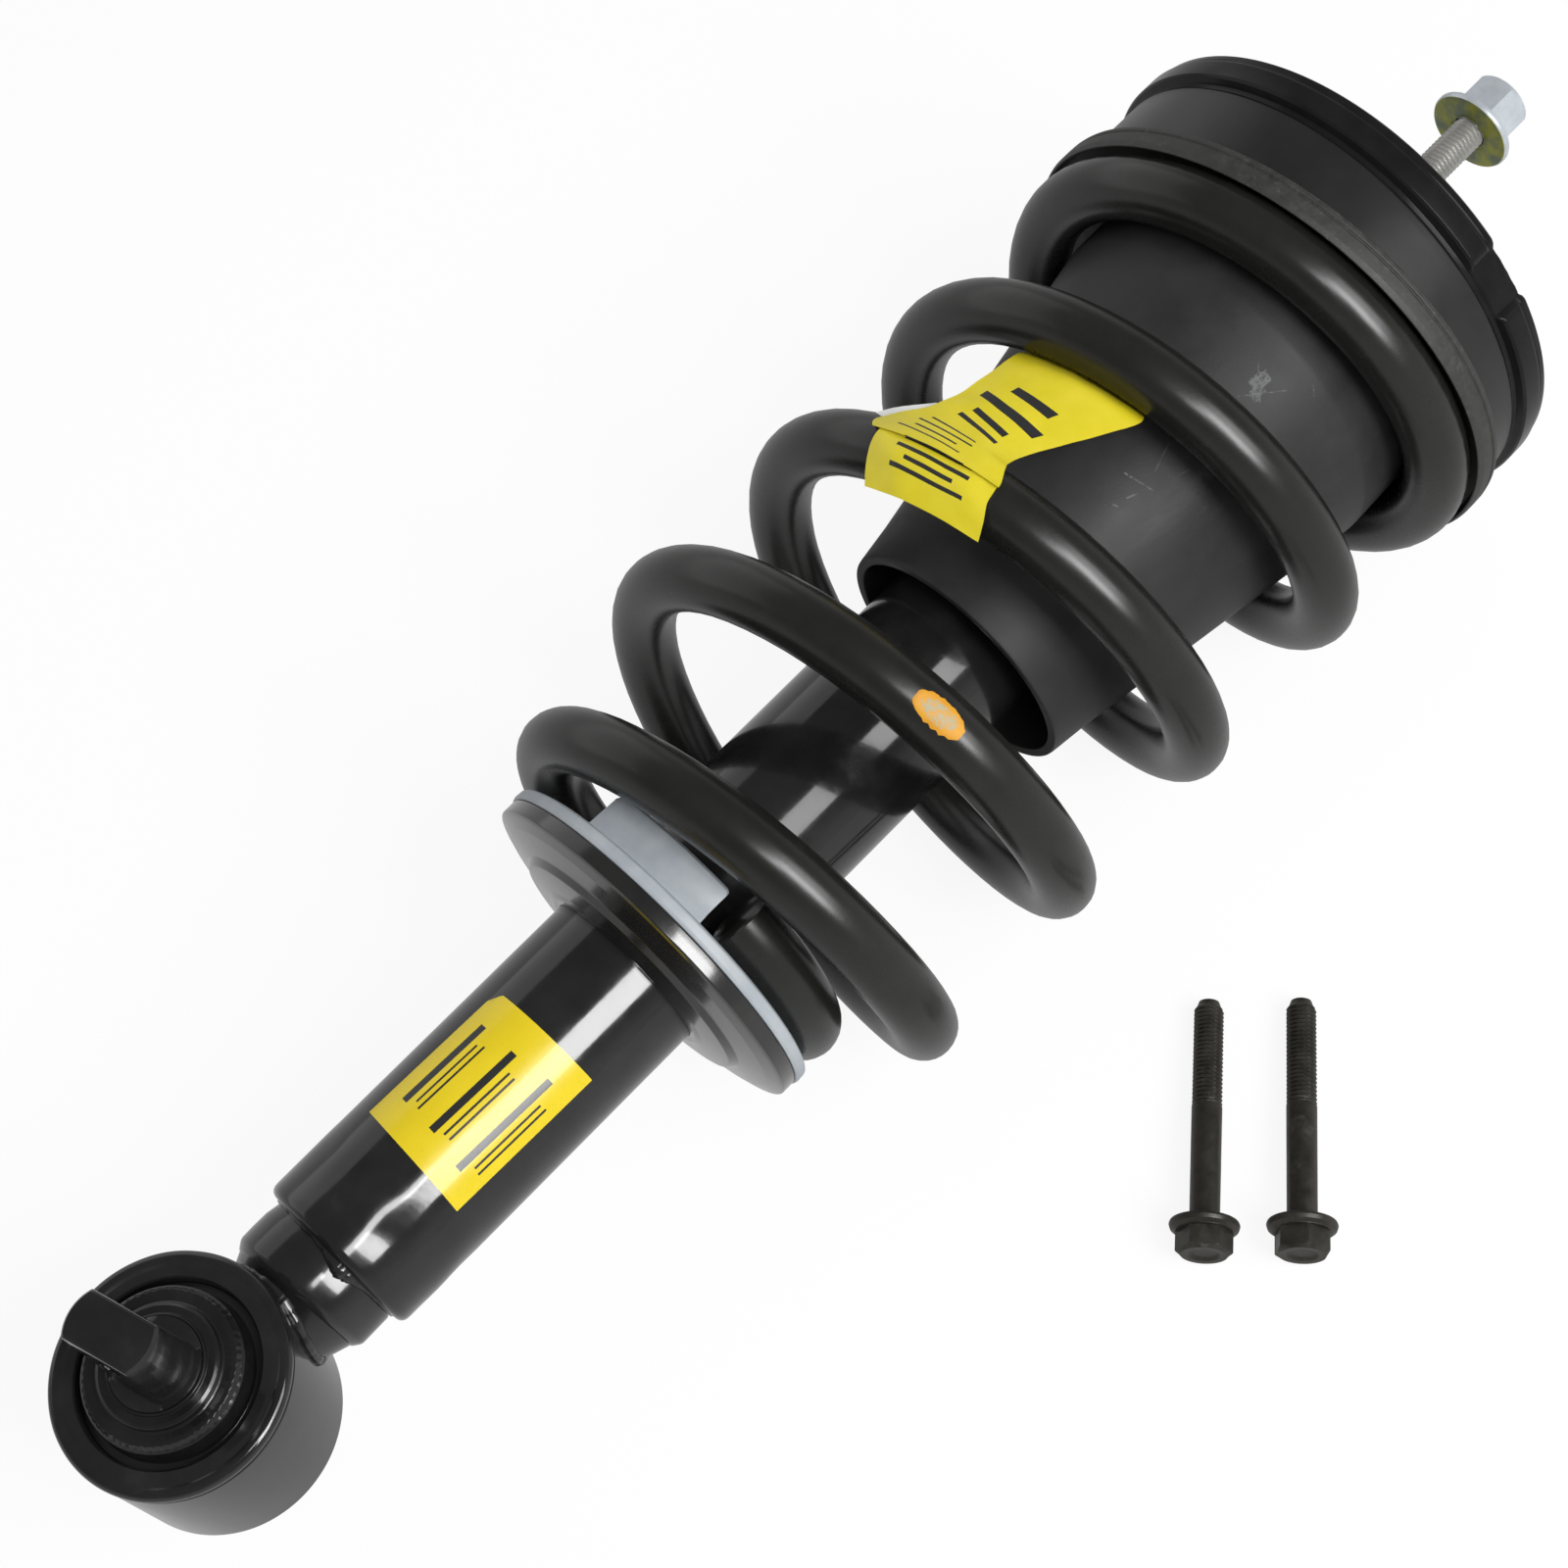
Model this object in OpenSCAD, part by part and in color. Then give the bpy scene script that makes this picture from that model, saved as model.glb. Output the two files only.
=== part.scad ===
// Strut assembly: a twin-tube damper inside a coil spring, with a rubber-bushed
// bar pin at the foot and a cup mount with a threaded stud at the top.
// It lies on the floor (z = 0) with its two fixing bolts beside it. Millimetres.
//
// Every strut piece is drawn upright, with its axis on +Z and the middle of the
// eye at the origin, and lay() then puts it down on the floor, along +X. Angles round
// the strut are counted from face_az, and -X in its own frame becomes up.

/* [Damper] */
// outer radius of the damper tube
tube_r = 28.5; // [20:0.5:40]
// wall of the damper tube
tube_wall = 2.5; // [1.5:0.1:5]
// height of the tube's lower end above the eye
tube_z0 = 62; // [50:1:90]
// height of the tube's upper end above the eye
tube_z1 = 350; // [300:1:420]
// inner radius of the pressure tube
bore_r = 16; // [12:0.5:20]
// radius of the piston rod
rod_r = 8; // [6:0.5:11]
// stroke of the damper from full length
stroke = 110; // [60:1:120]

/* [Eye and bar pin] */
// outer radius of the eye's rolled ends
eye_r = 36.8; // [30:0.1:45]
// half of the eye's width
eye_half_w = 27.3; // [18:0.1:35]
// wall of the eye between its rolled ends
eye_wall = 8.4; // [3:0.1:10]
// how far the rolled end stands out from the eye's wall
eye_bead = 0.4; // [0.2:0.1:3]
// radius of the bar pin's round middle
pin_r = 14; // [9:0.5:16]
// half of the bar pin's length
pin_half = 74; // [60:0.5:90]
// thickness of the pin's flat ends
pin_flat_t = 15.5; // [10:0.5:22]
// distance from the eye's middle to each bolt hole
pin_hole_x = 60; // [45:0.5:75]
// radius of the bolt holes
pin_hole_r = 5.5; // [4:0.1:8]
// turn of the bar pin in its bush
pin_twist = -15; // [-20:1:20]

/* [Spring] */
// radius of the spring wire
wire_r = 10.5; // [6:0.1:13]
// mean radius of the large coils at the foot
coil_r = 79.6; // [60:0.1:100]
// mean radius of the large coils at the head
coil_top_r = 77.9; // [60:0.1:100]
// mean radius of the small last coil
pigtail_r = 52.6; // [40:0.1:80]
// rise of one turn
coil_pitch = 64.3; // [30:0.1:90]
// steps of a 24th of a turn from the lower tip to the upper tip
coil_steps = 130; // [80:1:200]
// how far the spring leans, up on one side and down on the other
coil_lean = 2.2; // [0:0.1:6]

/* [Lower seat] */
// radius of the steel dish
seat_r = 62; // [50:0.5:80]
// height of the dish's lower edge above the eye
seat_z = 187.8; // [150:0.1:230]
// height of the dish's turned-down edge
seat_edge = 4.6; // [3:0.1:10]
// steel thickness of the dish
seat_t = 2.6; // [1.5:0.1:5]
// thickness of the plastic pad
pad_t = 4.9; // [2:0.1:10]

/* [Top mount] */
// height of the spring's upper seat above the eye
head_z = 485; // [440:1:560]
// slope of the upper seat
head_slope = 4.55; // [0:0.05:8]
// thickness of the insulator
lip_t = 5; // [3:0.5:12]
// radius of the cup's wall
cup_r = 85.5; // [60:0.5:100]
// steel thickness of the cup
cup_t = 2.5; // [1.5:0.1:5]
// radius of the cup's folded rim
rim_r = 88; // [62:0.5:104]
// height of the rim's top above the eye
rim_z = 524; // [500:0.5:600]
// height of the folded rim
rim_h = 12.3; // [6:0.1:25]
// width of the gap in the rim
rim_gap = 21; // [0:1:40]

/* [Boot and bump stop] */
// outer radius of the boot's mouth
boot_mouth_r = 44.2; // [36:0.1:60]
// outer radius of the boot's head
boot_head_r = 65.4; // [50:0.1:68]
// height of the boot's mouth above the eye
boot_z = 328; // [290:1:345]
// wall of the boot
boot_wall = 3; // [2:0.1:6]
// lean of the boot
boot_lean = 1.3; // [0:0.1:3]
// length of the bump stop
bump_l = 24.5; // [12:0.5:25]

/* [Stud and nut] */
// radius of the stud over its thread
stud_r = 6; // [4:0.5:10]
// height of the stud's tip above the eye
stud_z = 611; // [570:1:650]
// height of the nut's lower face above the eye
nut_z = 595.4; // [540:0.1:610]
// nut size across flats
nut_af = 21; // [14:0.5:24]
// radius of the nut's flange
nut_flange_r = 15.6; // [11:0.1:20]
// height of the nut
nut_h = 18.6; // [10:0.1:25]
// clear run of the nut down the stud
nut_run = 55; // [0:1:58]

/* [Loose bolts] */
// radius of the bolts over their thread
bolt_r = 5; // [4:0.5:8]
// length of the bolts under the head
bolt_l = 78; // [50:1:110]
// radius of the bolt head's flange
bolt_flange_r = 11.4; // [9:0.1:16]
// size of the bolt head across flats
bolt_af = 16; // [12:0.5:22]
// height of the bolt head with its flange
bolt_head_h = 11; // [7:0.5:16]

/* [Hidden] */
$fn = 96;

// fits
run_gap = 0.05;
seat_gap = 0.2;
free_gap = 0.4;
cut = 1;

// azimuths, in degrees round the strut from its own +X
face_az = 204;

// damper
tube_in = tube_r - tube_wall;
bore_wall = 1.5;
base_r = 3.5;
cap_h = 6;
valve_h = 9;
guide_h = 16;
seal_h = 4;
crimp = 3;
piston_h = 14;
piston_drop = 34;

// eye
eye_body_r = eye_r - eye_bead;
eye_in = eye_body_r - eye_wall;
bush_boss_r = 24.6;
bush_step_r = 18.4;
bush_groove = 5;
bush_proud = 6.2;
bush_step_h = 2.5;
bush_half = eye_half_w + bush_proud;
neck_r = 24.2;
pin_neck_x = bush_half + bush_step_h + 1.5;

// lower seat
seat_top = seat_z + seat_edge;
pad_top = seat_top + pad_t;
dish_h = 8;
hub_t = 3;
step_r0 = pigtail_r - wire_r - 0.5;
step_r1 = pigtail_r + 0.65 * wire_r;
step_from = -39;
step_to = 12;

// spring: angles in degrees from face_az, counted up from the lower tip
tip_a = 13.5;
rings_per_turn = 24;
ring_step = 360 / rings_per_turn;
ring_swell = 1 / cos(ring_step / 2);
end_a = tip_a + ring_step * coil_steps;
coil_z0 = pad_top + seat_gap + wire_r;
rise = coil_pitch / 360;
lift_a = 288;
lift_w = 120;
grow_a0 = 90;
grow_a1 = 460;
lean_a0 = 300;
lean_a1 = 450;
blend = 8;
wire_sides = 6;
side_slope = tan(head_slope);

// top mount
cup_in = cup_r - cup_t;
insulator_in = boot_head_r + free_gap;
skirt_h = 5;
hub_r = 38;
cover_t = 2.5;
cover_z = rim_z - rim_h;
sleeve_r = rod_r + 4;
sleeve_z0 = 489;
sleeve_z1 = cover_z + cover_t + 2;
washer_r = 24;
washer_t = 3;
rod_nut_h = 12;
rod_nut_af = 18;
shoulder_z = sleeve_z0 - washer_t;
bump_r = 22;
gap_az = 27;

// laid down: the large coils and the insulator's lip, of one radius, touch the floor
lip_r = coil_r + wire_r;
rest_h = lip_r + run_gap;

// loose bolts: where each flange's middle is over the floor, and the way it points
bolt_spots = [[255.8, -170.9], [276.4, -193.8]];
bolt_az = [39.4, 39.8];
bolt_tilt = asin((bolt_flange_r - bolt_r) / bolt_l);

// the origin is under the middle of the whole part's box
middle_x = (nut_z + nut_h - eye_r) / 2;
middle_y = (lip_r + bolt_spots[1].y - bolt_flange_r - 2) / 2;

module lay() {
  translate([-middle_x, -middle_y, rest_h])
    rotate([0, 90, 0])
      children();
}

module turned(points) {
  rotate_extrude()
    polygon(points);
}

module ring(r_out, r_in, h) {
  difference() {
    cylinder(r = r_out, h = h);
    translate([0, 0, -cut])
      cylinder(r = r_in, h = h + 2 * cut);
  }
}

module sector(r_out, r_in, h, from, to) {
  rotate([0, 0, from])
    rotate_extrude(angle = to - from)
      translate([r_in, 0])
        square([r_out - r_in, h]);
}

// space above the upper seat's sloping plane, raised by dz
module above_seat(dz) {
  size = 3 * lip_r;
  translate([0, 0, head_z])
    rotate(a = head_slope, v = [cos(face_az), sin(face_az), 0])
      translate([-size / 2, -size / 2, dz])
        cube([size, size, size]);
}

// ---- damper ----

module outer_tube() {
  color([0.03, 0.03, 0.035])
    lay()
      translate([0, 0, tube_z0])
        ring(tube_r, tube_in, tube_z1 - tube_z0);
}

module base_cap() {
  color([0.03, 0.03, 0.035])
    lay()
      translate([0, 0, tube_z0 - cap_h])
        turned([[0, 0], [tube_r - base_r, 0], [tube_r - 1, base_r - 1], [tube_r, cap_h],
                [tube_in - run_gap, cap_h], [tube_in - run_gap, cap_h + 4], [0, cap_h + 4]]);
}

module pressure_tube() {
  z0 = tube_z0 + 4 + run_gap;
  color([0.6, 0.6, 0.62])
    lay()
      translate([0, 0, z0])
        ring(bore_r + bore_wall, bore_r, tube_z1 - crimp - guide_h - z0);
}

module base_valve() {
  color([0.65, 0.6, 0.45])
    lay()
      translate([0, 0, tube_z0 + 4 + run_gap])
        difference() {
          cylinder(r = bore_r - run_gap, h = valve_h);
          for (a = [0 : 60 : 300])
            rotate([0, 0, a])
              translate([bore_r * 0.6, 0, -cut])
                cylinder(r = 1.8, h = valve_h + 2 * cut, $fn = 24);
        }
}

module rod_guide() {
  z0 = tube_z1 - crimp - guide_h;
  color([0.6, 0.6, 0.6])
    lay()
      difference() {
        union() {
          translate([0, 0, z0])
            cylinder(r = tube_in - run_gap, h = guide_h - seal_h);
          translate([0, 0, z0 - 5])
            cylinder(r = bore_r - run_gap, h = 6);
        }
        translate([0, 0, z0 - 6])
          cylinder(r = rod_r + run_gap, h = guide_h + 10);
      }
}

module oil_seal() {
  color([0.1, 0.1, 0.1])
    lay()
      translate([0, 0, tube_z1 - crimp - seal_h])
        ring(tube_in - run_gap, rod_r + run_gap, seal_h + crimp - 0.5);
}

module neck() {
  color([0.03, 0.03, 0.035])
    lay()
      difference() {
        cylinder(r = neck_r, h = tube_z0 - cap_h);
        rotate([0, 90, 0])
          cylinder(r = eye_body_r + run_gap, h = 4 * neck_r, center = true);
      }
}

// ---- eye and bar pin ----

module eye_ring() {
  roll_h = 3;
  roll_r = min(2.2, eye_wall / 2);
  color([0.03, 0.03, 0.035])
    lay()
      rotate([0, 90, 0])
        turned([[eye_in, -eye_half_w], [eye_body_r - 0.6, -eye_half_w],
                [eye_body_r, -eye_half_w + 0.6], [eye_body_r, eye_half_w - roll_h],
                [eye_r, eye_half_w - roll_h + eye_bead], [eye_r, eye_half_w - roll_r],
                [eye_r - 0.29 * roll_r, eye_half_w - 0.29 * roll_r],
                [eye_r - roll_r, eye_half_w], [eye_in, eye_half_w]]);
}

module eye_bushing() {
  knurl = 1.6;
  fill_half = eye_half_w - bush_groove;
  color([0.12, 0.12, 0.12])
    lay()
      rotate([0, 90, 0])
        difference() {
          union() {
            cylinder(r = bush_step_r, h = 2 * (bush_half + bush_step_h), center = true);
            cylinder(r = bush_boss_r - knurl, h = 2 * bush_half, center = true);
            cylinder(r = bush_boss_r, h = 2 * (bush_half - knurl), center = true);
            cylinder(r = eye_in - run_gap, h = 2 * fill_half, center = true);
          }
          cylinder(r = pin_r + run_gap, h = 2 * pin_half, center = true);
        }
}

// one end of the bar pin in outline, seen along the pin
module pin_end_outline() {
  intersection() {
    square([pin_flat_t, 2 * pin_r], center = true);
    circle(r = pin_r);
  }
}

module bar_pin() {
  color([0.05, 0.05, 0.055])
    lay()
      rotate([0, 90, 0])
        rotate([0, 0, pin_twist])
          difference() {
            union() {
              cylinder(r = pin_r, h = 2 * pin_neck_x, center = true);
              for (side = [-1, 1])
                scale([1, 1, side])
                  translate([0, 0, pin_neck_x - 2])
                    linear_extrude(pin_half - pin_neck_x + 2)
                      pin_end_outline();
            }
            for (side = [-1, 1])
              translate([0, 0, side * pin_hole_x])
                rotate([0, 90, 0])
                  cylinder(r = pin_hole_r, h = 2 * pin_flat_t, center = true);
          }
}

// ---- lower seat ----

// the pressing in outline: a shallow dish with an upright rim, on a sleeve round the tube
module spring_seat() {
  tube_fit = tube_r + run_gap;
  hub_r_out = tube_r + hub_t;
  low = seat_z - dish_h;
  color([0.03, 0.03, 0.035])
    lay()
      turned([[tube_fit, low], [hub_r_out, low], [seat_r - 20, low + 0.31 * dish_h],
              [seat_r - 12, low + 0.46 * dish_h], [seat_r - 5, low + 0.71 * dish_h],
              [seat_r - 0.8, seat_z], [seat_r, seat_z + 1], [seat_r, seat_top],
              [seat_r - seat_t, seat_top], [seat_r - seat_t, seat_z + 1.5],
              [seat_r - 6, low + 0.71 * dish_h + seat_t],
              [seat_r - 12, low + 0.46 * dish_h + seat_t],
              [seat_r - 20, low + 0.31 * dish_h + seat_t], [hub_r_out + 1, low + 1.6 * seat_t],
              [hub_r_out, low + 2 * seat_t], [hub_r_out, seat_top], [tube_fit, seat_top]]);
}

module seat_pad() {
  collar_h = 3;
  step_h = 14.5;
  color([0.62, 0.67, 0.71])
    lay()
      difference() {
        union() {
          translate([0, 0, seat_top + run_gap])
            ring(seat_r + 0.8, tube_r + 1, pad_t - run_gap);
          translate([0, 0, pad_top])
            ring(step_r0, tube_r + 1, collar_h);
          translate([0, 0, pad_top - 1])
            sector(step_r1, step_r0 - 1, step_h + 1, face_az + step_from, face_az + step_to);
        }
        translate([0, 0, seat_z])
          cylinder(r = tube_r + 0.9, h = 4 * wire_r);
      }
}

// ---- spring ----

function smooth(t) = let (u = max(0, min(1, t))) u * u * (3 - 2 * u);
// a line that starts flat: 0 well below 0, and x well above it
function bend(x, w) = x < -w ? 0 : x > w ? x : (x + w) * (x + w) / (4 * w);
function soft_min(a, b, k) = min(a, b) - (abs(a - b) < k ? pow(k - abs(a - b), 2) / (4 * k) : 0);

function coil_radius(a) =
  pigtail_r + (coil_r - pigtail_r) * smooth((a - grow_a0) / (grow_a1 - grow_a0))
  + (coil_top_r - coil_r) * smooth((a - grow_a1) / (end_a - grow_a1));
function coil_free_z(a) =
  coil_z0 + rise * bend(a - lift_a, lift_w)
  - coil_lean * sin(a) * smooth((a - lean_a0) / (lean_a1 - lean_a0));
function coil_head_z(a) =
  head_z + coil_radius(a) * side_slope * sin(a) - (wire_r + seat_gap) / cos(head_slope);
function coil_z(a) = soft_min(coil_free_z(a), coil_head_z(a), blend);
function coil_point(a) =
  let (r = coil_radius(a)) [r * cos(a + face_az), r * sin(a + face_az), coil_z(a)];

// the middle of a ring, a little outside the wire's own line, so that the straight
// stretches between two rings come no nearer to the strut's axis than the wire
function ring_point(a) = [ring_swell * coil_point(a).x, ring_swell * coil_point(a).y, coil_z(a)];

// makes up for the flats of the wire's sides, which lie nearer its middle than wire_r
flat_fill = 1.12;

// a ring of wire at angle a, square to the wire
function wire_ring(a) =
  let (out = [cos(a + face_az), sin(a + face_az), 0],
       way = coil_point(a + 1) - coil_point(a - 1),
       unit = way / norm(way),
       flat_out = out - unit * (out * unit),
       side = flat_out / norm(flat_out),
       up = cross(unit, side))
  [for (k = [0 : wire_sides - 1])
    let (b = 360 * k / wire_sides)
    ring_point(a) + wire_r * (cos(b) * side + flat_fill * sin(b) * up)];

coil_angles = [for (i = [0 : coil_steps]) tip_a + ring_step * i];
self_gap = min([for (a = [tip_a : 15 : end_a - 300])
                 for (b = [a + 300 : 5 : min(a + 420, end_a)])
                   norm(coil_point(a) - coil_point(b)) - 2 * wire_r]);
echo(spring_gap_to_itself_mm = self_gap);

module tube_along(rings) {
  sides = len(rings[0]);
  last = len(rings) - 1;
  points = [for (r = rings) for (p = r) p];
  walls = [for (i = [0 : last - 1]) for (k = [0 : sides - 1])
            let (a = i * sides + k,
                 b = i * sides + (k + 1) % sides,
                 c = b + sides,
                 d = a + sides)
            each [[a, b, c], [a, c, d]]];
  start = [for (k = [1 : sides - 2]) [0, k + 1, k]];
  end = [for (k = [1 : sides - 2]) [last * sides, last * sides + k, last * sides + k + 1]];
  polyhedron(points = points, faces = concat(walls, start, end));
}

module coil_spring() {
  color([0.05, 0.05, 0.055])
    lay()
      tube_along([for (a = coil_angles) wire_ring(a)]);
}

// ---- labels ----

module tube_label() {
  label_z = 91;
  label_h = 56.5;
  color([0.93, 0.78, 0.12])
    lay()
      translate([0, 0, label_z])
        sector(tube_r + run_gap + 0.3, tube_r + run_gap, label_h, face_az - 53, face_az + 37);
}

// a strip that is tucked behind one coil and hangs over the front of the next
module spring_tag() {
  tag_w = 39;
  tag_t = 0.6;
  tag_az = -19;
  upper_a = 1440 + tag_az;
  lower_a = 1080 + tag_az;
  gap = wire_r + 0.9;
  slope = atan(coil_pitch / (2 * PI * coil_radius(lower_a)));
  upper = [coil_radius(upper_a), coil_z(upper_a)];
  lower = [coil_radius(lower_a), coil_z(lower_a)];
  route = [for (b = [-120 : 20 : -60]) upper + (gap + 1.5) * [cos(b), sin(b)]];
  over = [for (b = [75 : -15 : -15]) lower + (gap + 1.2) * [cos(b), sin(b)]];
  tail = [lower + [gap + 0.8, -8], lower + [gap - 2.5, -1.7 * wire_r]];
  path = concat(route, over, tail);
  mid_z = (upper[1] + lower[1]) / 2;
  color([0.93, 0.78, 0.12])
    lay()
      rotate([0, 0, face_az + tag_az])
        translate([0, 0, mid_z])
          rotate([90 + slope, 0, 0])
            translate([0, -mid_z, -tag_w / 2])
              linear_extrude(tag_w)
                polygon(concat(path, [for (i = [len(path) - 1 : -1 : 0])
                                       path[i] + tag_t * [0.8, 0.6]]));
}

// ---- loose bolts ----

module flange_bolt() {
  flange_h = 3;
  cylinder(r = bolt_r, h = bolt_l);
  translate([0, 0, -flange_h])
    cylinder(r = bolt_flange_r, h = flange_h);
  translate([0, 0, -bolt_head_h])
    cylinder(d = bolt_af / cos(30), h = bolt_head_h, $fn = 6);
}

module pin_bolts() {
  color([0.1, 0.1, 0.08])
    for (i = [0 : len(bolt_spots) - 1])
      translate([bolt_spots[i].x - middle_x, bolt_spots[i].y - middle_y,
                 bolt_flange_r * cos(bolt_tilt)])
        rotate([0, 0, bolt_az[i]])
          rotate([0, 90 + bolt_tilt, 0])
            flange_bolt();
}

// ---- rod and piston ----

piston_z1 = tube_z1 - crimp - guide_h - piston_drop;

module piston_rod() {
  spigot_r = rod_r - 3;
  color([0.7, 0.7, 0.72])
    lay() {
      translate([0, 0, piston_z1 - piston_h - 8])
        cylinder(r = spigot_r, h = piston_h + 9);
      translate([0, 0, piston_z1])
        cylinder(r = rod_r, h = shoulder_z - piston_z1);
      translate([0, 0, shoulder_z - cut])
        cylinder(r = stud_r, h = stud_z - shoulder_z);
      translate([0, 0, stud_z - cut])
        cylinder(r1 = stud_r, r2 = stud_r - 1, h = cut);
    }
}

module piston() {
  color([0.5, 0.5, 0.5])
    lay()
      translate([0, 0, piston_z1 - piston_h])
        difference() {
          cylinder(r = bore_r - 0.6, h = piston_h - run_gap);
          translate([0, 0, -cut])
            cylinder(r = rod_r - 3 + run_gap, h = piston_h + 2 * cut);
          translate([0, 0, 3])
            ring(bore_r + cut, bore_r - 2, piston_h - 6);
        }
}

module piston_band() {
  color([0.35, 0.25, 0.15])
    lay()
      translate([0, 0, piston_z1 - piston_h + 3 + run_gap])
        ring(bore_r - run_gap, bore_r - 2 + run_gap, piston_h - 6 - 2 * run_gap);
}

module piston_nut() {
  nut_t = 6;
  color([0.5, 0.5, 0.5])
    lay()
      translate([0, 0, piston_z1 - piston_h - nut_t - run_gap])
        difference() {
          cylinder(d = 15 / cos(30), h = nut_t, $fn = 6);
          translate([0, 0, -cut])
            cylinder(r = rod_r - 3 + run_gap, h = nut_t + 2 * cut);
        }
}

module rebound_stop() {
  stop_h = 12;
  stop_gap = 4;
  color([0.15, 0.15, 0.15])
    lay()
      translate([0, 0, piston_z1 + stop_gap])
        ring(bore_r - 2.5, rod_r + run_gap, stop_h);
}

// ---- boot and bump stop ----

module boot() {
  rise_h = head_z - 2 - boot_z;
  ring_h = 9;
  head_h = 26;
  flange_w = 20;
  color([0.22, 0.22, 0.23])
    lay()
      translate([0, 0, head_z])
        rotate(a = boot_lean, v = [cos(face_az), sin(face_az), 0])
          translate([0, 0, boot_z - head_z])
            turned([[boot_mouth_r - boot_wall - 1, 0], [boot_mouth_r, 0],
                    [boot_mouth_r, ring_h], [boot_mouth_r + 1.6, ring_h + 4],
                    [boot_head_r, rise_h - head_h], [boot_head_r, rise_h],
                    [boot_head_r - flange_w, rise_h], [boot_head_r - flange_w, rise_h - boot_wall],
                    [boot_head_r - boot_wall, rise_h - boot_wall],
                    [boot_head_r - boot_wall, rise_h - head_h],
                    [boot_mouth_r + 1.6 - boot_wall, ring_h + 4]]);
}

module bump_stop() {
  waist = 3;
  color([0.75, 0.7, 0.45])
    lay()
      translate([0, 0, shoulder_z - run_gap - bump_l])
        turned([[rod_r + run_gap, 0], [bump_r - waist, 0], [bump_r, bump_l * 0.2],
                [bump_r - waist, bump_l * 0.5], [bump_r, bump_l * 0.8],
                [bump_r, bump_l], [rod_r + run_gap, bump_l]]);
}

// ---- top mount ----

module upper_insulator() {
  skirt_t = 1.6;
  flare = 1.2;
  color([0.2, 0.2, 0.2])
    lay()
      translate([0, 0, head_z])
        rotate(a = head_slope, v = [cos(face_az), sin(face_az), 0])
          turned([[insulator_in, 0], [lip_r - skirt_t, 0], [lip_r - skirt_t, -skirt_h],
                  [lip_r - flare, -skirt_h], [lip_r, -skirt_h + flare], [lip_r, lip_t - flare],
                  [lip_r - flare, lip_t], [insulator_in, lip_t]]);
}

module mount_cup() {
  fold_t = 2.2;
  color([0.05, 0.05, 0.055])
    lay()
      difference() {
        union() {
          intersection() {
            translate([0, 0, head_z - 2 * lip_t])
              cylinder(r = cup_r, h = rim_z - head_z + 2 * lip_t - 1);
            above_seat(lip_t + run_gap);
          }
          translate([0, 0, rim_z - rim_h])
            turned([[cup_in, 1], [rim_r - 1.5, 0], [rim_r, 1.5], [rim_r, rim_h - 5],
                    [rim_r - 1, rim_h - 1.2], [rim_r - 2.5, rim_h], [cup_in, rim_h]]);
        }
        intersection() {
          translate([0, 0, head_z - 2 * lip_t])
            cylinder(r = cup_in, h = rim_z);
          above_seat(lip_t + cup_t);
        }
        translate([0, 0, head_z - 3 * lip_t])
          cylinder(r = hub_r + run_gap, h = rim_z);
        translate([0, 0, rim_z - rim_h + fold_t])
          rotate([0, 0, face_az + gap_az])
            translate([cup_r - 0.5, -rim_gap / 2, 0])
              cube([rim_r, rim_gap, rim_h - 2 * fold_t]);
      }
}

module mount_cover() {
  color([0.05, 0.05, 0.055])
    lay()
      translate([0, 0, cover_z + run_gap])
        ring(cup_in - run_gap, hub_r - 8, cover_t);
}

module mount_bush() {
  color([0.12, 0.12, 0.12])
    lay()
      translate([0, 0, sleeve_z0 + 1])
        ring(hub_r, sleeve_r + run_gap, cover_z - sleeve_z0 - 1);
}

module mount_sleeve() {
  color([0.5, 0.5, 0.5])
    lay()
      translate([0, 0, sleeve_z0])
        ring(sleeve_r, stud_r + run_gap, sleeve_z1 - sleeve_z0);
}

module mount_washers() {
  color([0.6, 0.6, 0.6])
    lay() {
      translate([0, 0, shoulder_z + run_gap])
        ring(washer_r, stud_r + run_gap, washer_t - 2 * run_gap);
      translate([0, 0, sleeve_z1 + run_gap])
        ring(washer_r, stud_r + run_gap, washer_t);
    }
}

module hex_nut(af, h, bore) {
  difference() {
    cylinder(d = af / cos(30), h = h, $fn = 6);
    translate([0, 0, -cut])
      cylinder(r = bore, h = h + 2 * cut);
  }
}

module rod_nut() {
  color([0.5, 0.5, 0.5])
    lay()
      translate([0, 0, sleeve_z1 + washer_t + 2 * run_gap])
        hex_nut(rod_nut_af, rod_nut_h, stud_r + run_gap);
}

module top_nut() {
  flange_h = 2.6;
  dome = 1.5;
  color([0.78, 0.77, 0.72])
    lay()
      translate([0, 0, nut_z])
        difference() {
          union() {
            cylinder(r = nut_flange_r, h = flange_h);
            translate([0, 0, flange_h])
              cylinder(r1 = nut_flange_r - 0.6, r2 = nut_af / 2, h = dome);
            cylinder(d = nut_af / cos(30), h = nut_h, $fn = 6);
          }
          translate([0, 0, -cut])
            cylinder(r = stud_r + run_gap, h = nut_h + 2 * cut);
        }
}

outer_tube();
base_cap();
pressure_tube();
base_valve();
rod_guide();
oil_seal();
neck();
eye_ring();
eye_bushing();
spring_seat();
seat_pad();
coil_spring();
tube_label();
spring_tag();
pin_bolts();
bar_pin();
piston_rod();
piston();
piston_band();
piston_nut();
rebound_stop();
boot();
bump_stop();
upper_insulator();
mount_cup();
mount_cover();
mount_bush();
mount_sleeve();
mount_washers();
rod_nut();
top_nut();
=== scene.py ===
"""Strut assembly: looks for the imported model, lying on a pale floor.

Lengths along and round the strut are written in millimetres, as x from the middle of
the eye towards the stud, r from the strut's axis and a in degrees from its face.
"""
import math

import bmesh
import bpy
from mathutils import Matrix, Vector, noise


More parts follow.
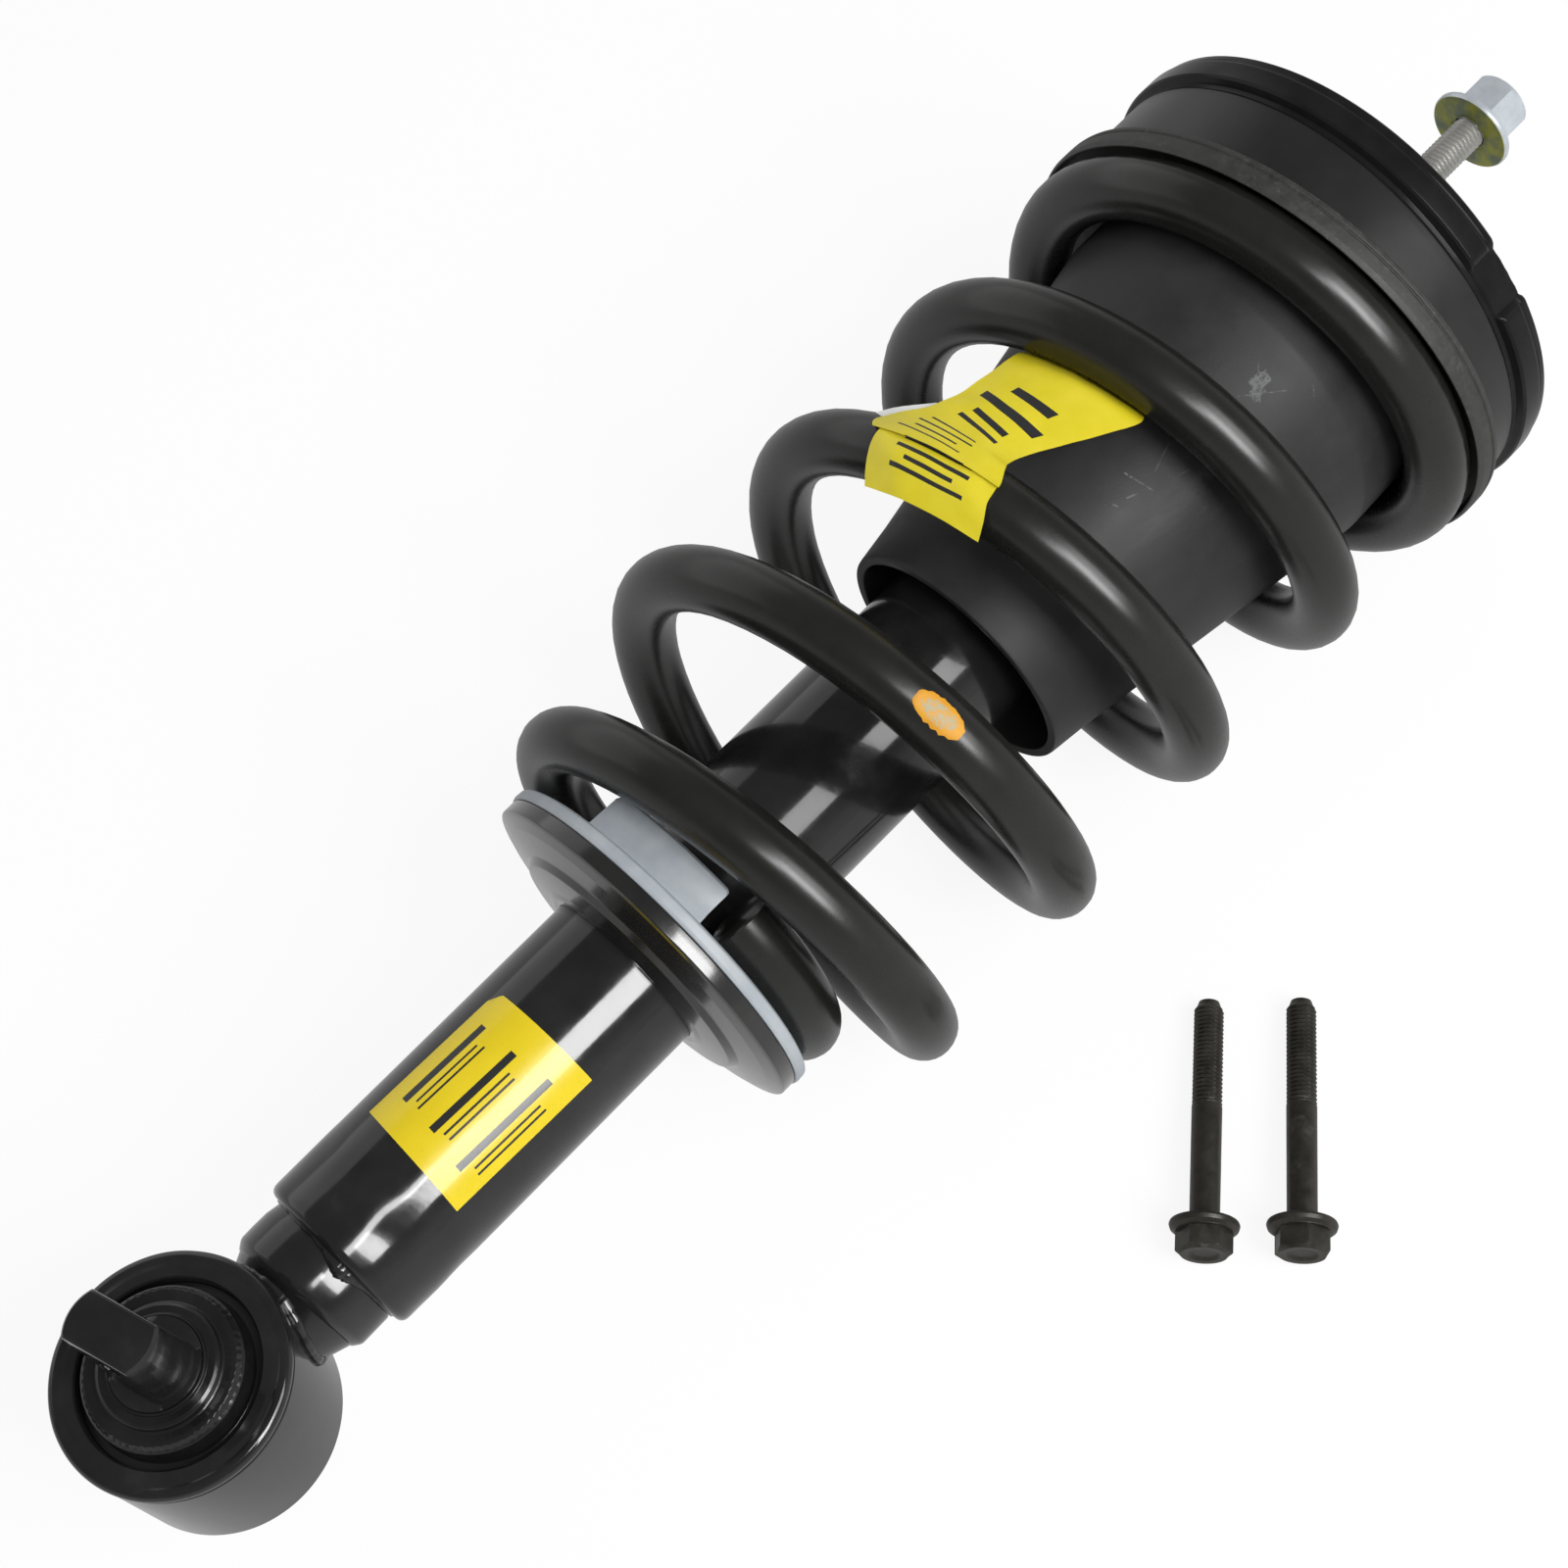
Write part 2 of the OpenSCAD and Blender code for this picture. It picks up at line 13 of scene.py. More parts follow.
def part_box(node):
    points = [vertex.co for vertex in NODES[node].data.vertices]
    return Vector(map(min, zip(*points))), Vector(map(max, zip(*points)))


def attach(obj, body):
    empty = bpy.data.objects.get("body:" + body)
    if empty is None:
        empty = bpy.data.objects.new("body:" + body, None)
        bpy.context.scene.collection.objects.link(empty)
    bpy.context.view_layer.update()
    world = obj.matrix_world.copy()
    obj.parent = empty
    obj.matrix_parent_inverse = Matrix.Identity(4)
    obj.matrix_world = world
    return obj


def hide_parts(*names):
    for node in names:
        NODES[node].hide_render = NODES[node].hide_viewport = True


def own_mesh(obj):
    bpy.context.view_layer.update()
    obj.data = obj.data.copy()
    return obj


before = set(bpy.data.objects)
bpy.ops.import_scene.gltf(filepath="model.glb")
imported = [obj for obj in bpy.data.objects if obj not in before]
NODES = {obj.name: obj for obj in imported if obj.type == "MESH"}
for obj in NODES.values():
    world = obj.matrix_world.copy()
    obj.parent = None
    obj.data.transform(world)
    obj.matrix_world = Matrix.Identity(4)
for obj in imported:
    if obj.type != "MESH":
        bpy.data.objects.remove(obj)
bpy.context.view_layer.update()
MM = 0.001


# ---- places

EYE = sum((Vector(corner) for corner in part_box("eye_ring")), Vector()) / 2
FACE = 204.0


def cos_sin(a):
    """Cosine and sine of an angle in degrees."""
    return math.cos(math.radians(a)), math.sin(math.radians(a))


def on_strut(x, r, a):
    """A point x along the strut, r from its axis and a degrees from its face."""
    c, s = cos_sin(FACE + a)
    return EYE + MM * Vector((x, r * s, -r * c))


def on_pin(z, r, a):
    """A point z up the bar pin, r from its axis and a degrees from the strut's way."""
    c, s = cos_sin(a)
    return EYE + MM * Vector((r * c, r * s, z))


# ---- shader helpers

def add(tree, kind, **settings):
    node = tree.nodes.new(kind)
    for key, value in settings.items():
        setattr(node, key, value)
    return node


def put(node, values):
    """Set a node's own inputs."""
    for key, value in values.items():
        node.inputs[key].default_value = value
    return node


def feed(tree, value, socket):
    """Set a socket to a number or colour, or link an output to it."""
    if isinstance(value, (int, float, tuple)):
        socket.default_value = value
    else:
        tree.links.new(value, socket)


def mapped(tree, value, low, high, to_low=0.0, to_high=1.0):
    node = put(add(tree, "ShaderNodeMapRange"),
               {"From Min": low, "From Max": high, "To Min": to_low, "To Max": to_high})
    tree.links.new(value, node.inputs["Value"])
    return node.outputs["Result"]


def sums(tree, how, first, second=0):
    node = add(tree, "ShaderNodeMath", operation=how)
    feed(tree, first, node.inputs[0])
    feed(tree, second, node.inputs[1])
    return node.outputs[0]


def vectors(tree, how, first, second, out=0):
    node = add(tree, "ShaderNodeVectorMath", operation=how)
    tree.links.new(first, node.inputs[0])
    tree.links.new(second, node.inputs["Scale" if how == "SCALE" else 1])
    return node.outputs[out]


def mixed(tree, factor, first, second):
    node = add(tree, "ShaderNodeMix", data_type="RGBA")
    for index, value in ((0, factor), (6, first), (7, second)):
        feed(tree, value, node.inputs[index])
    return node.outputs[2]


def noise_of(tree, where, scale, detail=3.0, roughness=0.5):
    node = put(add(tree, "ShaderNodeTexNoise"), {"Detail": detail, "Roughness": roughness})
    tree.links.new(where, node.inputs["Vector"])
    feed(tree, scale, node.inputs["Scale"])
    return node.outputs["Fac"]


def new_group(name, inputs, outputs):
    """A node group with named sockets: inputs by their values, outputs by how many numbers they hold."""
    kinds = {1: "NodeSocketFloat", 3: "NodeSocketVector", 4: "NodeSocketColor"}
    group = bpy.data.node_groups.new(name, "ShaderNodeTree")
    for label, value in inputs.items():
        kind = kinds[len(value) if isinstance(value, tuple) else 1]
        group.interface.new_socket(label, in_out="INPUT", socket_type=kind).default_value = value
    for label, size in outputs.items():
        group.interface.new_socket(label, in_out="OUTPUT", socket_type=kinds[size])
    return (group, add(group, "NodeGroupInput").outputs, add(group, "NodeGroupOutput").inputs,
            add(group, "ShaderNodeTexCoord").outputs)


def make_mottle():
    """Cloudy change of colour and roughness, with fine grain as a height."""
    group, ins, outs, place = new_group(
        "mottle", {"Colour": (0.5, 0.5, 0.5, 1), "Second Colour": (0.4, 0.4, 0.4, 1), "Cloud Scale": 40.0,
                   "Grain Scale": 900.0, "Roughness": 0.5, "Roughness Spread": 0.1},
        {"Colour": 4, "Roughness": 1, "Height": 1})
    cloud = noise_of(group, place["Object"], ins["Cloud Scale"], 4.0, 0.6)
    shade = mixed(group, mapped(group, cloud, 0.35, 0.65), ins["Colour"], ins["Second Colour"])
    spread = sums(group, "MULTIPLY", mapped(group, cloud, 0.3, 0.7, -1.0, 1.0), ins["Roughness Spread"])
    group.links.new(shade, outs["Colour"])
    group.links.new(sums(group, "ADD", ins["Roughness"], spread), outs["Roughness"])
    group.links.new(noise_of(group, place["Object"], ins["Grain Scale"], 2.0), outs["Height"])
    return group


def make_scuffs():
    """Sparse pale rubs and fine scratches, as a mask."""
    group, ins, outs, place = new_group(
        "scuffs", {"Scale": 30.0, "Amount": 0.5, "Way": (1.0, 1.0, 1.0)}, {"Mask": 1})
    stretched = vectors(group, "MULTIPLY", place["Object"], ins["Way"])
    rubs = mapped(group, noise_of(group, stretched, ins["Scale"], 6.0, 0.7), 0.56, 0.74)
    patch = mapped(group, noise_of(group, place["Object"], 18.0, 2.0), 0.45, 0.62)
    both = sums(group, "MULTIPLY", rubs, patch)
    group.links.new(sums(group, "MULTIPLY", both, ins["Amount"]), outs["Mask"])
    return group


def make_scratch():
    """One scratch as a mask: a broken line from a centre, along a way."""
    group, ins, outs, place = new_group(
        "scratch", {"Centre": (0.0, 0.0, 0.0), "Way": (1.0, 0.0, 0.0), "Half Length": 0.01,
                    "Half Width": 0.0004, "Strength": 0.6}, {"Mask": 1})
    where = place["Object"]
    away = vectors(group, "SUBTRACT", where, ins["Centre"])
    along = vectors(group, "DOT_PRODUCT", away, ins["Way"], "Value")
    across = vectors(group, "DISTANCE", away, vectors(group, "SCALE", ins["Way"], along), "Value")
    wander = mapped(group, noise_of(group, where, 260.0, 3.0), 0.3, 0.7, 0.2, 1.5)
    near = sums(group, "LESS_THAN", across, sums(group, "MULTIPLY", ins["Half Width"], wander))
    inside = sums(group, "LESS_THAN", sums(group, "ABSOLUTE", along), ins["Half Length"])
    broken = mapped(group, noise_of(group, where, 700.0, 4.0, 0.7), 0.38, 0.55)
    mask = sums(group, "MULTIPLY", sums(group, "MULTIPLY", near, inside), broken)
    group.links.new(sums(group, "MULTIPLY", mask, ins["Strength"]), outs["Mask"])
    return group


def make_print_rows():
    """Rows of plain ink bars of uneven length, as a mask over a printed film."""
    group, ins, outs, place = new_group(
        "print_rows", {"Left": 0.2, "Right": 0.8, "Foot": 0.2, "Head": 0.8, "Rows": 4.0, "Ink": 0.4,
                       "Ragged": 0.15}, {"Mask": 1})

    def maths(how, first, second=0):
        return sums(group, how, first, second)
    split = add(group, "ShaderNodeSeparateXYZ")
    group.links.new(place["UV"], split.inputs[0])
    across, up = split.outputs["X"], split.outputs["Y"]
    share = maths("DIVIDE", maths("SUBTRACT", up, ins["Foot"]), maths("SUBTRACT", ins["Head"], ins["Foot"]))
    row = maths("MULTIPLY", share, ins["Rows"])
    uneven = add(group, "ShaderNodeTexWhiteNoise", noise_dimensions="1D")
    group.links.new(maths("ADD", maths("FLOOR", row), ins["Head"]), uneven.inputs["W"])
    cut = maths("MULTIPLY", uneven.outputs["Value"], ins["Ragged"])
    mask = maths("LESS_THAN", maths("FRACT", row), ins["Ink"])
    for how, value, edge in (("GREATER_THAN", share, 0.0), ("LESS_THAN", share, 1.0),
                             ("GREATER_THAN", across, maths("ADD", ins["Left"], cut)),
                             ("LESS_THAN", across, maths("SUBTRACT", ins["Right"], cut))):
        mask = maths("MULTIPLY", mask, maths(how, value, edge))
    group.links.new(mask, outs["Mask"])
    return group


MOTTLE = make_mottle()
SCUFFS = make_scuffs()
SCRATCH = make_scratch()
PRINT_ROWS = make_print_rows()
GRAIN_DEPTH = 0.0002
SCUFF_ROUGHER = 0.3


def rgba(colour):
    """A colour with its alpha, from three numbers or from one grey."""
    return (*colour, 1) if isinstance(colour, tuple) else (colour, colour, colour, 1)


def finish(name, colour, second, rough, spread=0.05, cloud=40.0, grain=900.0, bump=0.1, metal=0.0,
           coat=0.0, coat_rough=0.05, scuff=0.0, scuff_colour=0.4, scuff_scale=30.0, scuff_way=(1, 1, 1),
           specular=0.5):
    """A procedural material: mottled colour, scuffs, grain and a plain principled shader."""
    material = bpy.data.materials.new(name)
    material.use_nodes = True
    tree = material.node_tree
    shader = put(tree.nodes["Principled BSDF"],
                 {"Metallic": metal, "Coat Weight": coat, "Coat Roughness": coat_rough,
                  "Specular IOR Level": specular})
    base = put(add(tree, "ShaderNodeGroup", node_tree=MOTTLE),
               {"Colour": rgba(colour), "Second Colour": rgba(second), "Cloud Scale": cloud,
                "Grain Scale": grain, "Roughness": rough, "Roughness Spread": spread})
    colour_out, rough_out = base.outputs["Colour"], base.outputs["Roughness"]
    if scuff:
        marks = put(add(tree, "ShaderNodeGroup", node_tree=SCUFFS),
                    {"Scale": scuff_scale, "Amount": scuff, "Way": scuff_way}).outputs["Mask"]
        colour_out = mixed(tree, marks, colour_out, rgba(scuff_colour))
        rough_out = sums(tree, "ADD", rough_out, sums(tree, "MULTIPLY", marks, SCUFF_ROUGHER))
    height = put(add(tree, "ShaderNodeBump"), {"Strength": bump, "Distance": GRAIN_DEPTH})
    for value, socket in ((colour_out, shader.inputs["Base Color"]), (rough_out, shader.inputs["Roughness"]),
                          (base.outputs["Height"], height.inputs["Height"]),
                          (height.outputs["Normal"], shader.inputs["Normal"])):
        tree.links.new(value, socket)
    return material


# ---- materials

GLOSS_BLACK = finish("gloss_black_dip_paint", 0.009, 0.014, 0.14, spread=0.04, cloud=60, grain=260, bump=0.12,
                     coat=0.4, coat_rough=0.04, scuff=0.12, scuff_colour=0.12)
CUP_BLACK = finish("cup_satin_paint", 0.010, 0.014, 0.34, spread=0.02, grain=420)
SEAT_BLACK = finish("seat_dip_paint", 0.009, (0.014, 0.014, 0.013), 0.2, spread=0.03, cloud=60, grain=190,
                    bump=0.35, coat=0.8, coat_rough=0.12)
RIM_BLACK = finish("rim_gloss_paint", 0.008, 0.012, 0.2, spread=0.03, cloud=60, grain=260, bump=0.12,
                   specular=0.15)
SPRING_BLACK = finish("spring_satin_paint", (0.010, 0.010, 0.009), (0.013, 0.013, 0.012), 0.27, spread=0.012,
                      cloud=50, grain=500, bump=0.06, scuff=0.03, scuff_colour=(0.10, 0.10, 0.09),
                      scuff_scale=300)
BOOT_RUBBER = finish("boot_rubber", 0.021, 0.029, 0.5, spread=0.07, cloud=45, grain=1400, bump=0.2,
                     scuff=0.55, scuff_colour=0.088, scuff_scale=55, scuff_way=(0.25, 1, 1), specular=0.28)
MOULDED_RUBBER = finish("moulded_rubber", 0.020, 0.030, 0.55, spread=0.08, grain=1200, bump=0.25, scuff=0.3)
MOULDED_BLACK = finish("bush_dip_paint", 0.008, 0.012, 0.16, cloud=80, grain=300, bump=0.4)
LIP_RUBBER = finish("insulator_rubber", (0.022, 0.022, 0.021), (0.034, 0.034, 0.032), 0.55, spread=0.06,
                    cloud=260, grain=1200, bump=0.4, scuff=0.4, scuff_colour=(0.15, 0.15, 0.145),
                    scuff_scale=420)
PAD_PLASTIC = finish("pad_plastic", (0.31, 0.34, 0.37), (0.38, 0.41, 0.43), 0.42, spread=0.08,
                     cloud=70, grain=800, bump=0.15, scuff=0.3, scuff_colour=(0.2, 0.2, 0.19))
ZINC = finish("bright_zinc", (0.62, 0.67, 0.71), (0.52, 0.56, 0.60), 0.36, spread=0.06, cloud=160,
              grain=700, bump=0.12, metal=0.45)
# Yellow-green colour given only to the underside of the nut's flange; the rest of the nut keeps the bluish
# zinc.
ZINC_YELLOW_UNDERSIDE = finish("yellow_underside_zinc", (0.36, 0.37, 0.05), (0.16, 0.20, 0.15), 0.34, spread=0.06,
                        cloud=150, grain=700, bump=0.12, metal=0.5)
STUD_STEEL = finish("stud_steel", (0.50, 0.49, 0.46), (0.38, 0.38, 0.36), 0.38, spread=0.06, cloud=120,
                    metal=0.6)
MACHINED_STEEL = finish("machined_steel", (0.52, 0.52, 0.53), (0.42, 0.42, 0.43), 0.32, spread=0.06,
                        cloud=120, grain=1100, metal=1.0)
CHROME_ROD = finish("chrome_rod", (0.62, 0.62, 0.63), (0.57, 0.57, 0.58), 0.1, spread=0.02, cloud=90,
                    bump=0.02, metal=1.0)
SINTERED = finish("sintered_iron", (0.26, 0.25, 0.23), (0.20, 0.19, 0.18), 0.5, cloud=200, grain=1500,
                  bump=0.3, metal=0.7)
PTFE = finish("bronze_filled_band", (0.22, 0.14, 0.08), (0.17, 0.11, 0.06), 0.5, grain=1200)
FOAM = finish("cellular_foam", (0.60, 0.52, 0.30), (0.50, 0.42, 0.22), 0.8, cloud=150, grain=1500, bump=0.6)
PHOSPHATE = finish("black_phosphate", (0.026, 0.025, 0.021), (0.048, 0.044, 0.036), 0.42, spread=0.1,
                   cloud=150, grain=1500, bump=0.25, metal=0.5, scuff=0.4,
                   scuff_colour=(0.22, 0.21, 0.19), scuff_scale=120)
PAINT_DAB = finish("orange_marking_paint", (0.56, 0.24, 0.004), (0.62, 0.29, 0.008), 0.55, cloud=200,
                   grain=700, bump=0.3)
PAD_END = finish("pad_plastic_end", (0.07, 0.06, 0.045), (0.10, 0.085, 0.06), 0.4, cloud=200, grain=800)
FILM_BACK = finish("film_reverse", (0.74, 0.74, 0.72), (0.80, 0.80, 0.78), 0.5, cloud=60, grain=600,
                   bump=0.05)


def add_masks(material, group, labels, rows, colour):
    """Lay a colour over a material wherever one of a group's masks, one for each row of values, is on."""
    tree = material.node_tree
    socket = tree.nodes["Principled BSDF"].inputs["Base Color"]
    mask = None
    for row in rows:
        out = put(add(tree, "ShaderNodeGroup", node_tree=group), dict(zip(labels, row))).outputs["Mask"]
        mask = out if mask is None else sums(tree, "MAXIMUM", mask, out)
    tree.links.new(mixed(tree, mask, socket.links[0].from_socket, rgba(colour)), socket)


def add_scratches(material, marks, colour):
    """Scratches on a material: (centre, way, half length, half width, strength) each, in metres."""
    add_masks(material, SCRATCH, ("Centre", "Way", "Half Length", "Half Width", "Strength"), marks, colour)


def scratch_line(x, r, a, turn, half_length, half_width, strength):
    """A scratch at a place on the boot, turned from the strut's way by turn degrees."""
    flare = 0.17
    centre = on_strut(x, r, a)
    along = (on_strut(x + 1, r + flare, a) - centre).normalized()
    around = (on_strut(x, r, a + 1) - centre).normalized()
    c, s = cos_sin(turn)
    return centre, along * c + around * s, half_length * MM, half_width * MM, strength


BOOT_MARKS = (
    (443.6, 62.9, 7.6, 10, 3.4, 2.2, 0.45), (440.4, 62.4, 10.2, 5, 2.6, 1.9, 0.35),
    (442.3, 62.7, 8.9, -50, 7.5, 0.28, 0.5), (441.5, 62.6, 11.0, 35, 8.0, 0.22, 0.4),
    (394.3, 54.6, 4.0, 75, 6.0, 0.3, 0.5), (396.3, 54.9, 9.0, 20, 9.0, 0.22, 0.4),
    (400.0, 55.5, 6.0, -20, 12.0, 0.2, 0.35), (386.0, 53.1, 8.7, 60, 5.0, 0.25, 0.35),
    (420.0, 59.0, 16.0, 15, 16.0, 0.2, 0.25), (452.0, 64.3, 25.0, -60, 8.0, 0.2, 0.25))
add_scratches(BOOT_RUBBER, [scratch_line(*mark) for mark in BOOT_MARKS], (0.20, 0.205, 0.21))


def label_material(name, colour, second, blocks, rough):
    """Printed film: blocks is a list of (left, right, foot, head, rows, ink, ragged) groups of bars."""
    material = finish(name, colour, second, rough, spread=0.04, cloud=60, grain=600, bump=0.05, coat=0.2)
    add_masks(material, PRINT_ROWS, ("Left", "Right", "Foot", "Head", "Rows", "Ink", "Ragged"), blocks, 0.02)
    return material


TUBE_LABEL = label_material(
    "tube_label_film", (0.68, 0.52, 0.008), (0.72, 0.55, 0.011),
    [block for foot in (0.70, 0.39, 0.08)
     for block in ((0.14, 0.84, foot + 0.11, foot + 0.22, 1, 0.5, 0.06),
                   (0.14, 0.78, foot, foot + 0.10, 2, 0.34, 0.10))], 0.28)
TAG_FILM = label_material(
    "tag_film", (0.62, 0.52, 0.011), (0.68, 0.57, 0.024),
    [(0.14, 0.86, 0.66, 0.86, 4, 0.42, 0.18), (0.12, 0.74, 0.47, 0.62, 4, 0.26, 0.2),
     (0.14, 0.88, 0.17, 0.42, 5, 0.42, 0.18)], 0.42)


# ---- mesh helpers

def linked(name, data):
    """A new object in the scene."""
    thing = bpy.data.objects.new(name, data)
    bpy.context.scene.collection.objects.link(thing)
    return thing


def new_mesh(name, points, faces):
    mesh = bpy.data.meshes.new(name)
    mesh.from_pydata(points, [], faces)
    return mesh


def make_piece(name, mesh, material, body, sharp=38.0, stands_for=()):
    mesh.shade_smooth()
    mesh.set_sharp_from_angle(angle=math.radians(sharp))
    piece = linked(name, mesh)
    mesh.materials.append(material)
    if stands_for:
        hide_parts(*stands_for)
    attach(piece, body)
    return piece


def skin(name, rings, loop=False, caps=True, round_rings=True):
    """A mesh over rings of points: joined end to end when loop, else with flat caps."""
    count = len(rings[0])
    points = [p for ring in rings for p in ring]
    faces = []
    last = len(rings) if loop else len(rings) - 1
    turns = count if round_rings else count - 1
    for i in range(last):
        j = (i + 1) % len(rings)
        for k in range(turns):
            n = (k + 1) % count
            faces.append((i * count + k, i * count + n, j * count + n, j * count + k))
    if caps and not loop:
        faces += [tuple(range(count)), tuple(range(last * count, (last + 1) * count))]
    mesh = new_mesh(name, points, faces)
    form = bmesh.new()
    form.from_mesh(mesh)
    bmesh.ops.remove_doubles(form, verts=form.verts, dist=1e-7)
    bmesh.ops.recalc_face_normals(form, faces=form.faces)
    form.to_mesh(mesh)
    form.free()
    return mesh


def soften(corners, steps=5, loop=False):
    """Corners (x, r, fillet) as a line of (x, r) points, with round corners."""
    line = []
    count = len(corners)
    for i, (x, r, fillet) in enumerate(corners):
        here = Vector((x, r))
        ends = not loop and i in (0, count - 1)
        if ends or not fillet:
            line.append((x, r))
            continue
        back = Vector(corners[i - 1][:2]) - here
        ahead = Vector(corners[(i + 1) % count][:2]) - here
        half = back.angle(ahead) / 2
        run = min(fillet / math.tan(half), back.length * 0.49, ahead.length * 0.49)
        start = here + back.normalized() * run
        end = here + ahead.normalized() * run
        for s in range(steps + 1):
            t = s / steps
            point = (1 - t) ** 2 * start + 2 * t * (1 - t) * here + t * t * end
            line.append((point.x, point.y))
    return line


def turned(name, corners, material, body, place=on_strut, segments=128, loop=False, shape=None,
           sharp=38.0, stands_for=()):
    """A piece turned on a lathe: corners (x, r, fillet); shape may move a point (x, r, a)."""
    angles = [360.0 * k / segments for k in range(segments)]
    rings = [[place(*(shape(x, r, a) if shape else (x, r)), a) for a in angles]
             for x, r in soften(corners, loop=loop)]
    return make_piece(name, skin(name, rings, loop=loop), material, body, sharp, stands_for)


def second_finish(piece, material, chosen):
    """Give the faces whose middle passes the test another material."""
    piece.data.materials.append(material)
    for face in piece.data.polygons:
        if chosen(face.center):
            face.material_index = 1


def along_strut(point):
    return (point.x - EYE.x) / MM


# ---- camera, floor and light

EYE_TO_CAMERA = Vector((0.06539, -0.33656, 0.77060))
CAMERA_RIGHT = Vector((0.69267, -0.70731, -0.14116))
CAMERA_UP = Vector((0.68563, 0.58497, 0.43326))
LENS = 61.99
FLOOR_GLOW = 0.9
FLOOR_IN_GLOSS = 0.5
FLOOR_HALF = 6.0
FLOOR_Z = -0.0005


def make_camera():
    data = bpy.data.cameras.new("camera")
    data.sensor_width = 36.0
    data.lens = LENS
    camera = linked("camera", data)
    back = CAMERA_RIGHT.cross(CAMERA_UP)
    turn = Matrix((CAMERA_RIGHT, CAMERA_UP, back)).transposed().to_4x4()
    camera.matrix_world = Matrix.Translation(EYE + EYE_TO_CAMERA) @ turn
    bpy.context.scene.camera = camera


def seen_rays(tree):
    """1 for rays of the camera, of mirrors and through glass, else 0."""
    path = add(tree, "ShaderNodeLightPath").outputs
    seen = sums(tree, "MAXIMUM", path["Is Camera Ray"], path["Is Glossy Ray"])
    return sums(tree, "MAXIMUM", seen, path["Is Transmission Ray"])


def make_floor():
    """A white floor that glows for the camera and still takes the object's shadow."""
    corners = [(x * FLOOR_HALF, y * FLOOR_HALF, 0) for x, y in ((-1, -1), (1, -1), (1, 1), (-1, 1))]
    mesh = new_mesh("floor", corners, [(0, 1, 2, 3)])
    floor = linked("floor", mesh)
    floor.location.z = FLOOR_Z
    material = bpy.data.materials.new("white_floor")
    material.use_nodes = True
    tree = material.node_tree
    shader = put(tree.nodes["Principled BSDF"], {"Base Color": rgba(0.92), "Roughness": 0.8})
    glow = put(add(tree, "ShaderNodeEmission"), {"Color": rgba(1)})
    path = add(tree, "ShaderNodeLightPath")
    tree.links.new(mapped(tree, path.outputs["Is Glossy Ray"], 0, 1, 1.0, FLOOR_IN_GLOSS),
                   glow.inputs["Strength"])
    mix = add(tree, "ShaderNodeMixShader")
    for value, socket in ((sums(tree, "MULTIPLY", seen_rays(tree), FLOOR_GLOW), mix.inputs[0]),
                          (shader.outputs[0], mix.inputs[1]), (glow.outputs[0], mix.inputs[2]),
                          (mix.outputs[0], tree.nodes["Material Output"].inputs["Surface"])):
        tree.links.new(value, socket)
    mesh.materials.append(material)


def make_world():
    """White behind the object; for mirrors a room, bright at the horizon and dim overhead."""
    world = bpy.data.worlds.new("studio")
    bpy.context.scene.world = world
    world.use_nodes = True
    tree = world.node_tree
    background = put(tree.nodes["Background"], {"Color": rgba(1)})
    path = add(tree, "ShaderNodeLightPath").outputs
    split = add(tree, "ShaderNodeSeparateXYZ")
    tree.links.new(add(tree, "ShaderNodeTexCoord").outputs["Generated"], split.inputs[0])
    room = mapped(tree, split.outputs["Z"], 0.08, 0.5, 0.5, 0.14)
    plain = mapped(tree, path["Is Glossy Ray"], 0, 1, 0.40, 0.0)
    glossy = sums(tree, "MULTIPLY", room, path["Is Glossy Ray"])
    seen = sums(tree, "MAXIMUM", path["Is Camera Ray"], path["Is Transmission Ray"])
    tree.links.new(sums(tree, "MAXIMUM", sums(tree, "ADD", plain, glossy), seen),
                   background.inputs["Strength"])


def softbox(name, offset, target, width, height, watts):
    """A soft lamp of width by height metres, at an offset from the target that it is aimed at."""
    data = bpy.data.lights.new(name, "AREA")
    data.shape = "RECTANGLE"
    data.size = width
    data.size_y = height
    data.energy = watts
    lamp = linked(name, data)
    aim = EYE + Vector(target)
    where = aim + Vector(offset)
    lamp.location = where
    lamp.rotation_euler = (aim - where).to_track_quat("-Z", "Y").to_euler()


def make_lights():
    softbox("near_softbox", (0.02, -1.05, 1.08), (0.29, 0.0, 0.0), 0.38, 0.8, 13.5)
    softbox("foot_softbox", (0.0, -0.62, 1.12), (0.06, 0.0, 0.0), 0.26, 0.16, 1.6)
    softbox("far_softbox", (0.0, -1.02, 1.10), (0.80, 0.0, 0.0), 0.7, 0.8, 9)
    softbox("side_softbox", (0.0, 1.5, 0.75), (0.25, 0.0, 0.0), 2.4, 1.2, 5)


# ---- damper and eye

TUBE_R = 28.5
TUBE_X0 = 56.0
TUBE_X1 = 350.0
NECK_R = 24.2
CAN_R = 36.4
ROLL_R = 36.8
CAN_HALF = 27.3
BUSH_R = 27.95
BOSS_R = 24.6
STEP_R = 18.4


def ripple(x, a, size):
    """A slow uneven wave, as dipped paint and pressed steel have."""
    c, s = cos_sin(a)
    return size * noise.noise(Vector((x * 0.05, c * 2, s * 2)))


def make_damper_tube():
    corners = [(TUBE_X0, 0, 0), (TUBE_X0, TUBE_R, 6.5)]
    corners += [(x, TUBE_R, 0) for x in range(63, 101, 2)]
    corners += [(TUBE_X1, TUBE_R, 0.8), (TUBE_X1, TUBE_R - 2.5, 0.5), (TUBE_X1 - 3, TUBE_R - 2.5, 0),
                (TUBE_X1 - 3, 9.2, 0)]

    def shape(x, r, a):
        """Runs in the paint where the foot was dipped last."""
        return x, r + (ripple(x * 1.6, a, 0.4) * smooth((99 - x) / 26) if r > 20 else 0.0)
    turned("damper_tube", corners, GLOSS_BLACK, "lower", segments=192, shape=shape,
           stands_for=("outer_tube", "base_cap"))


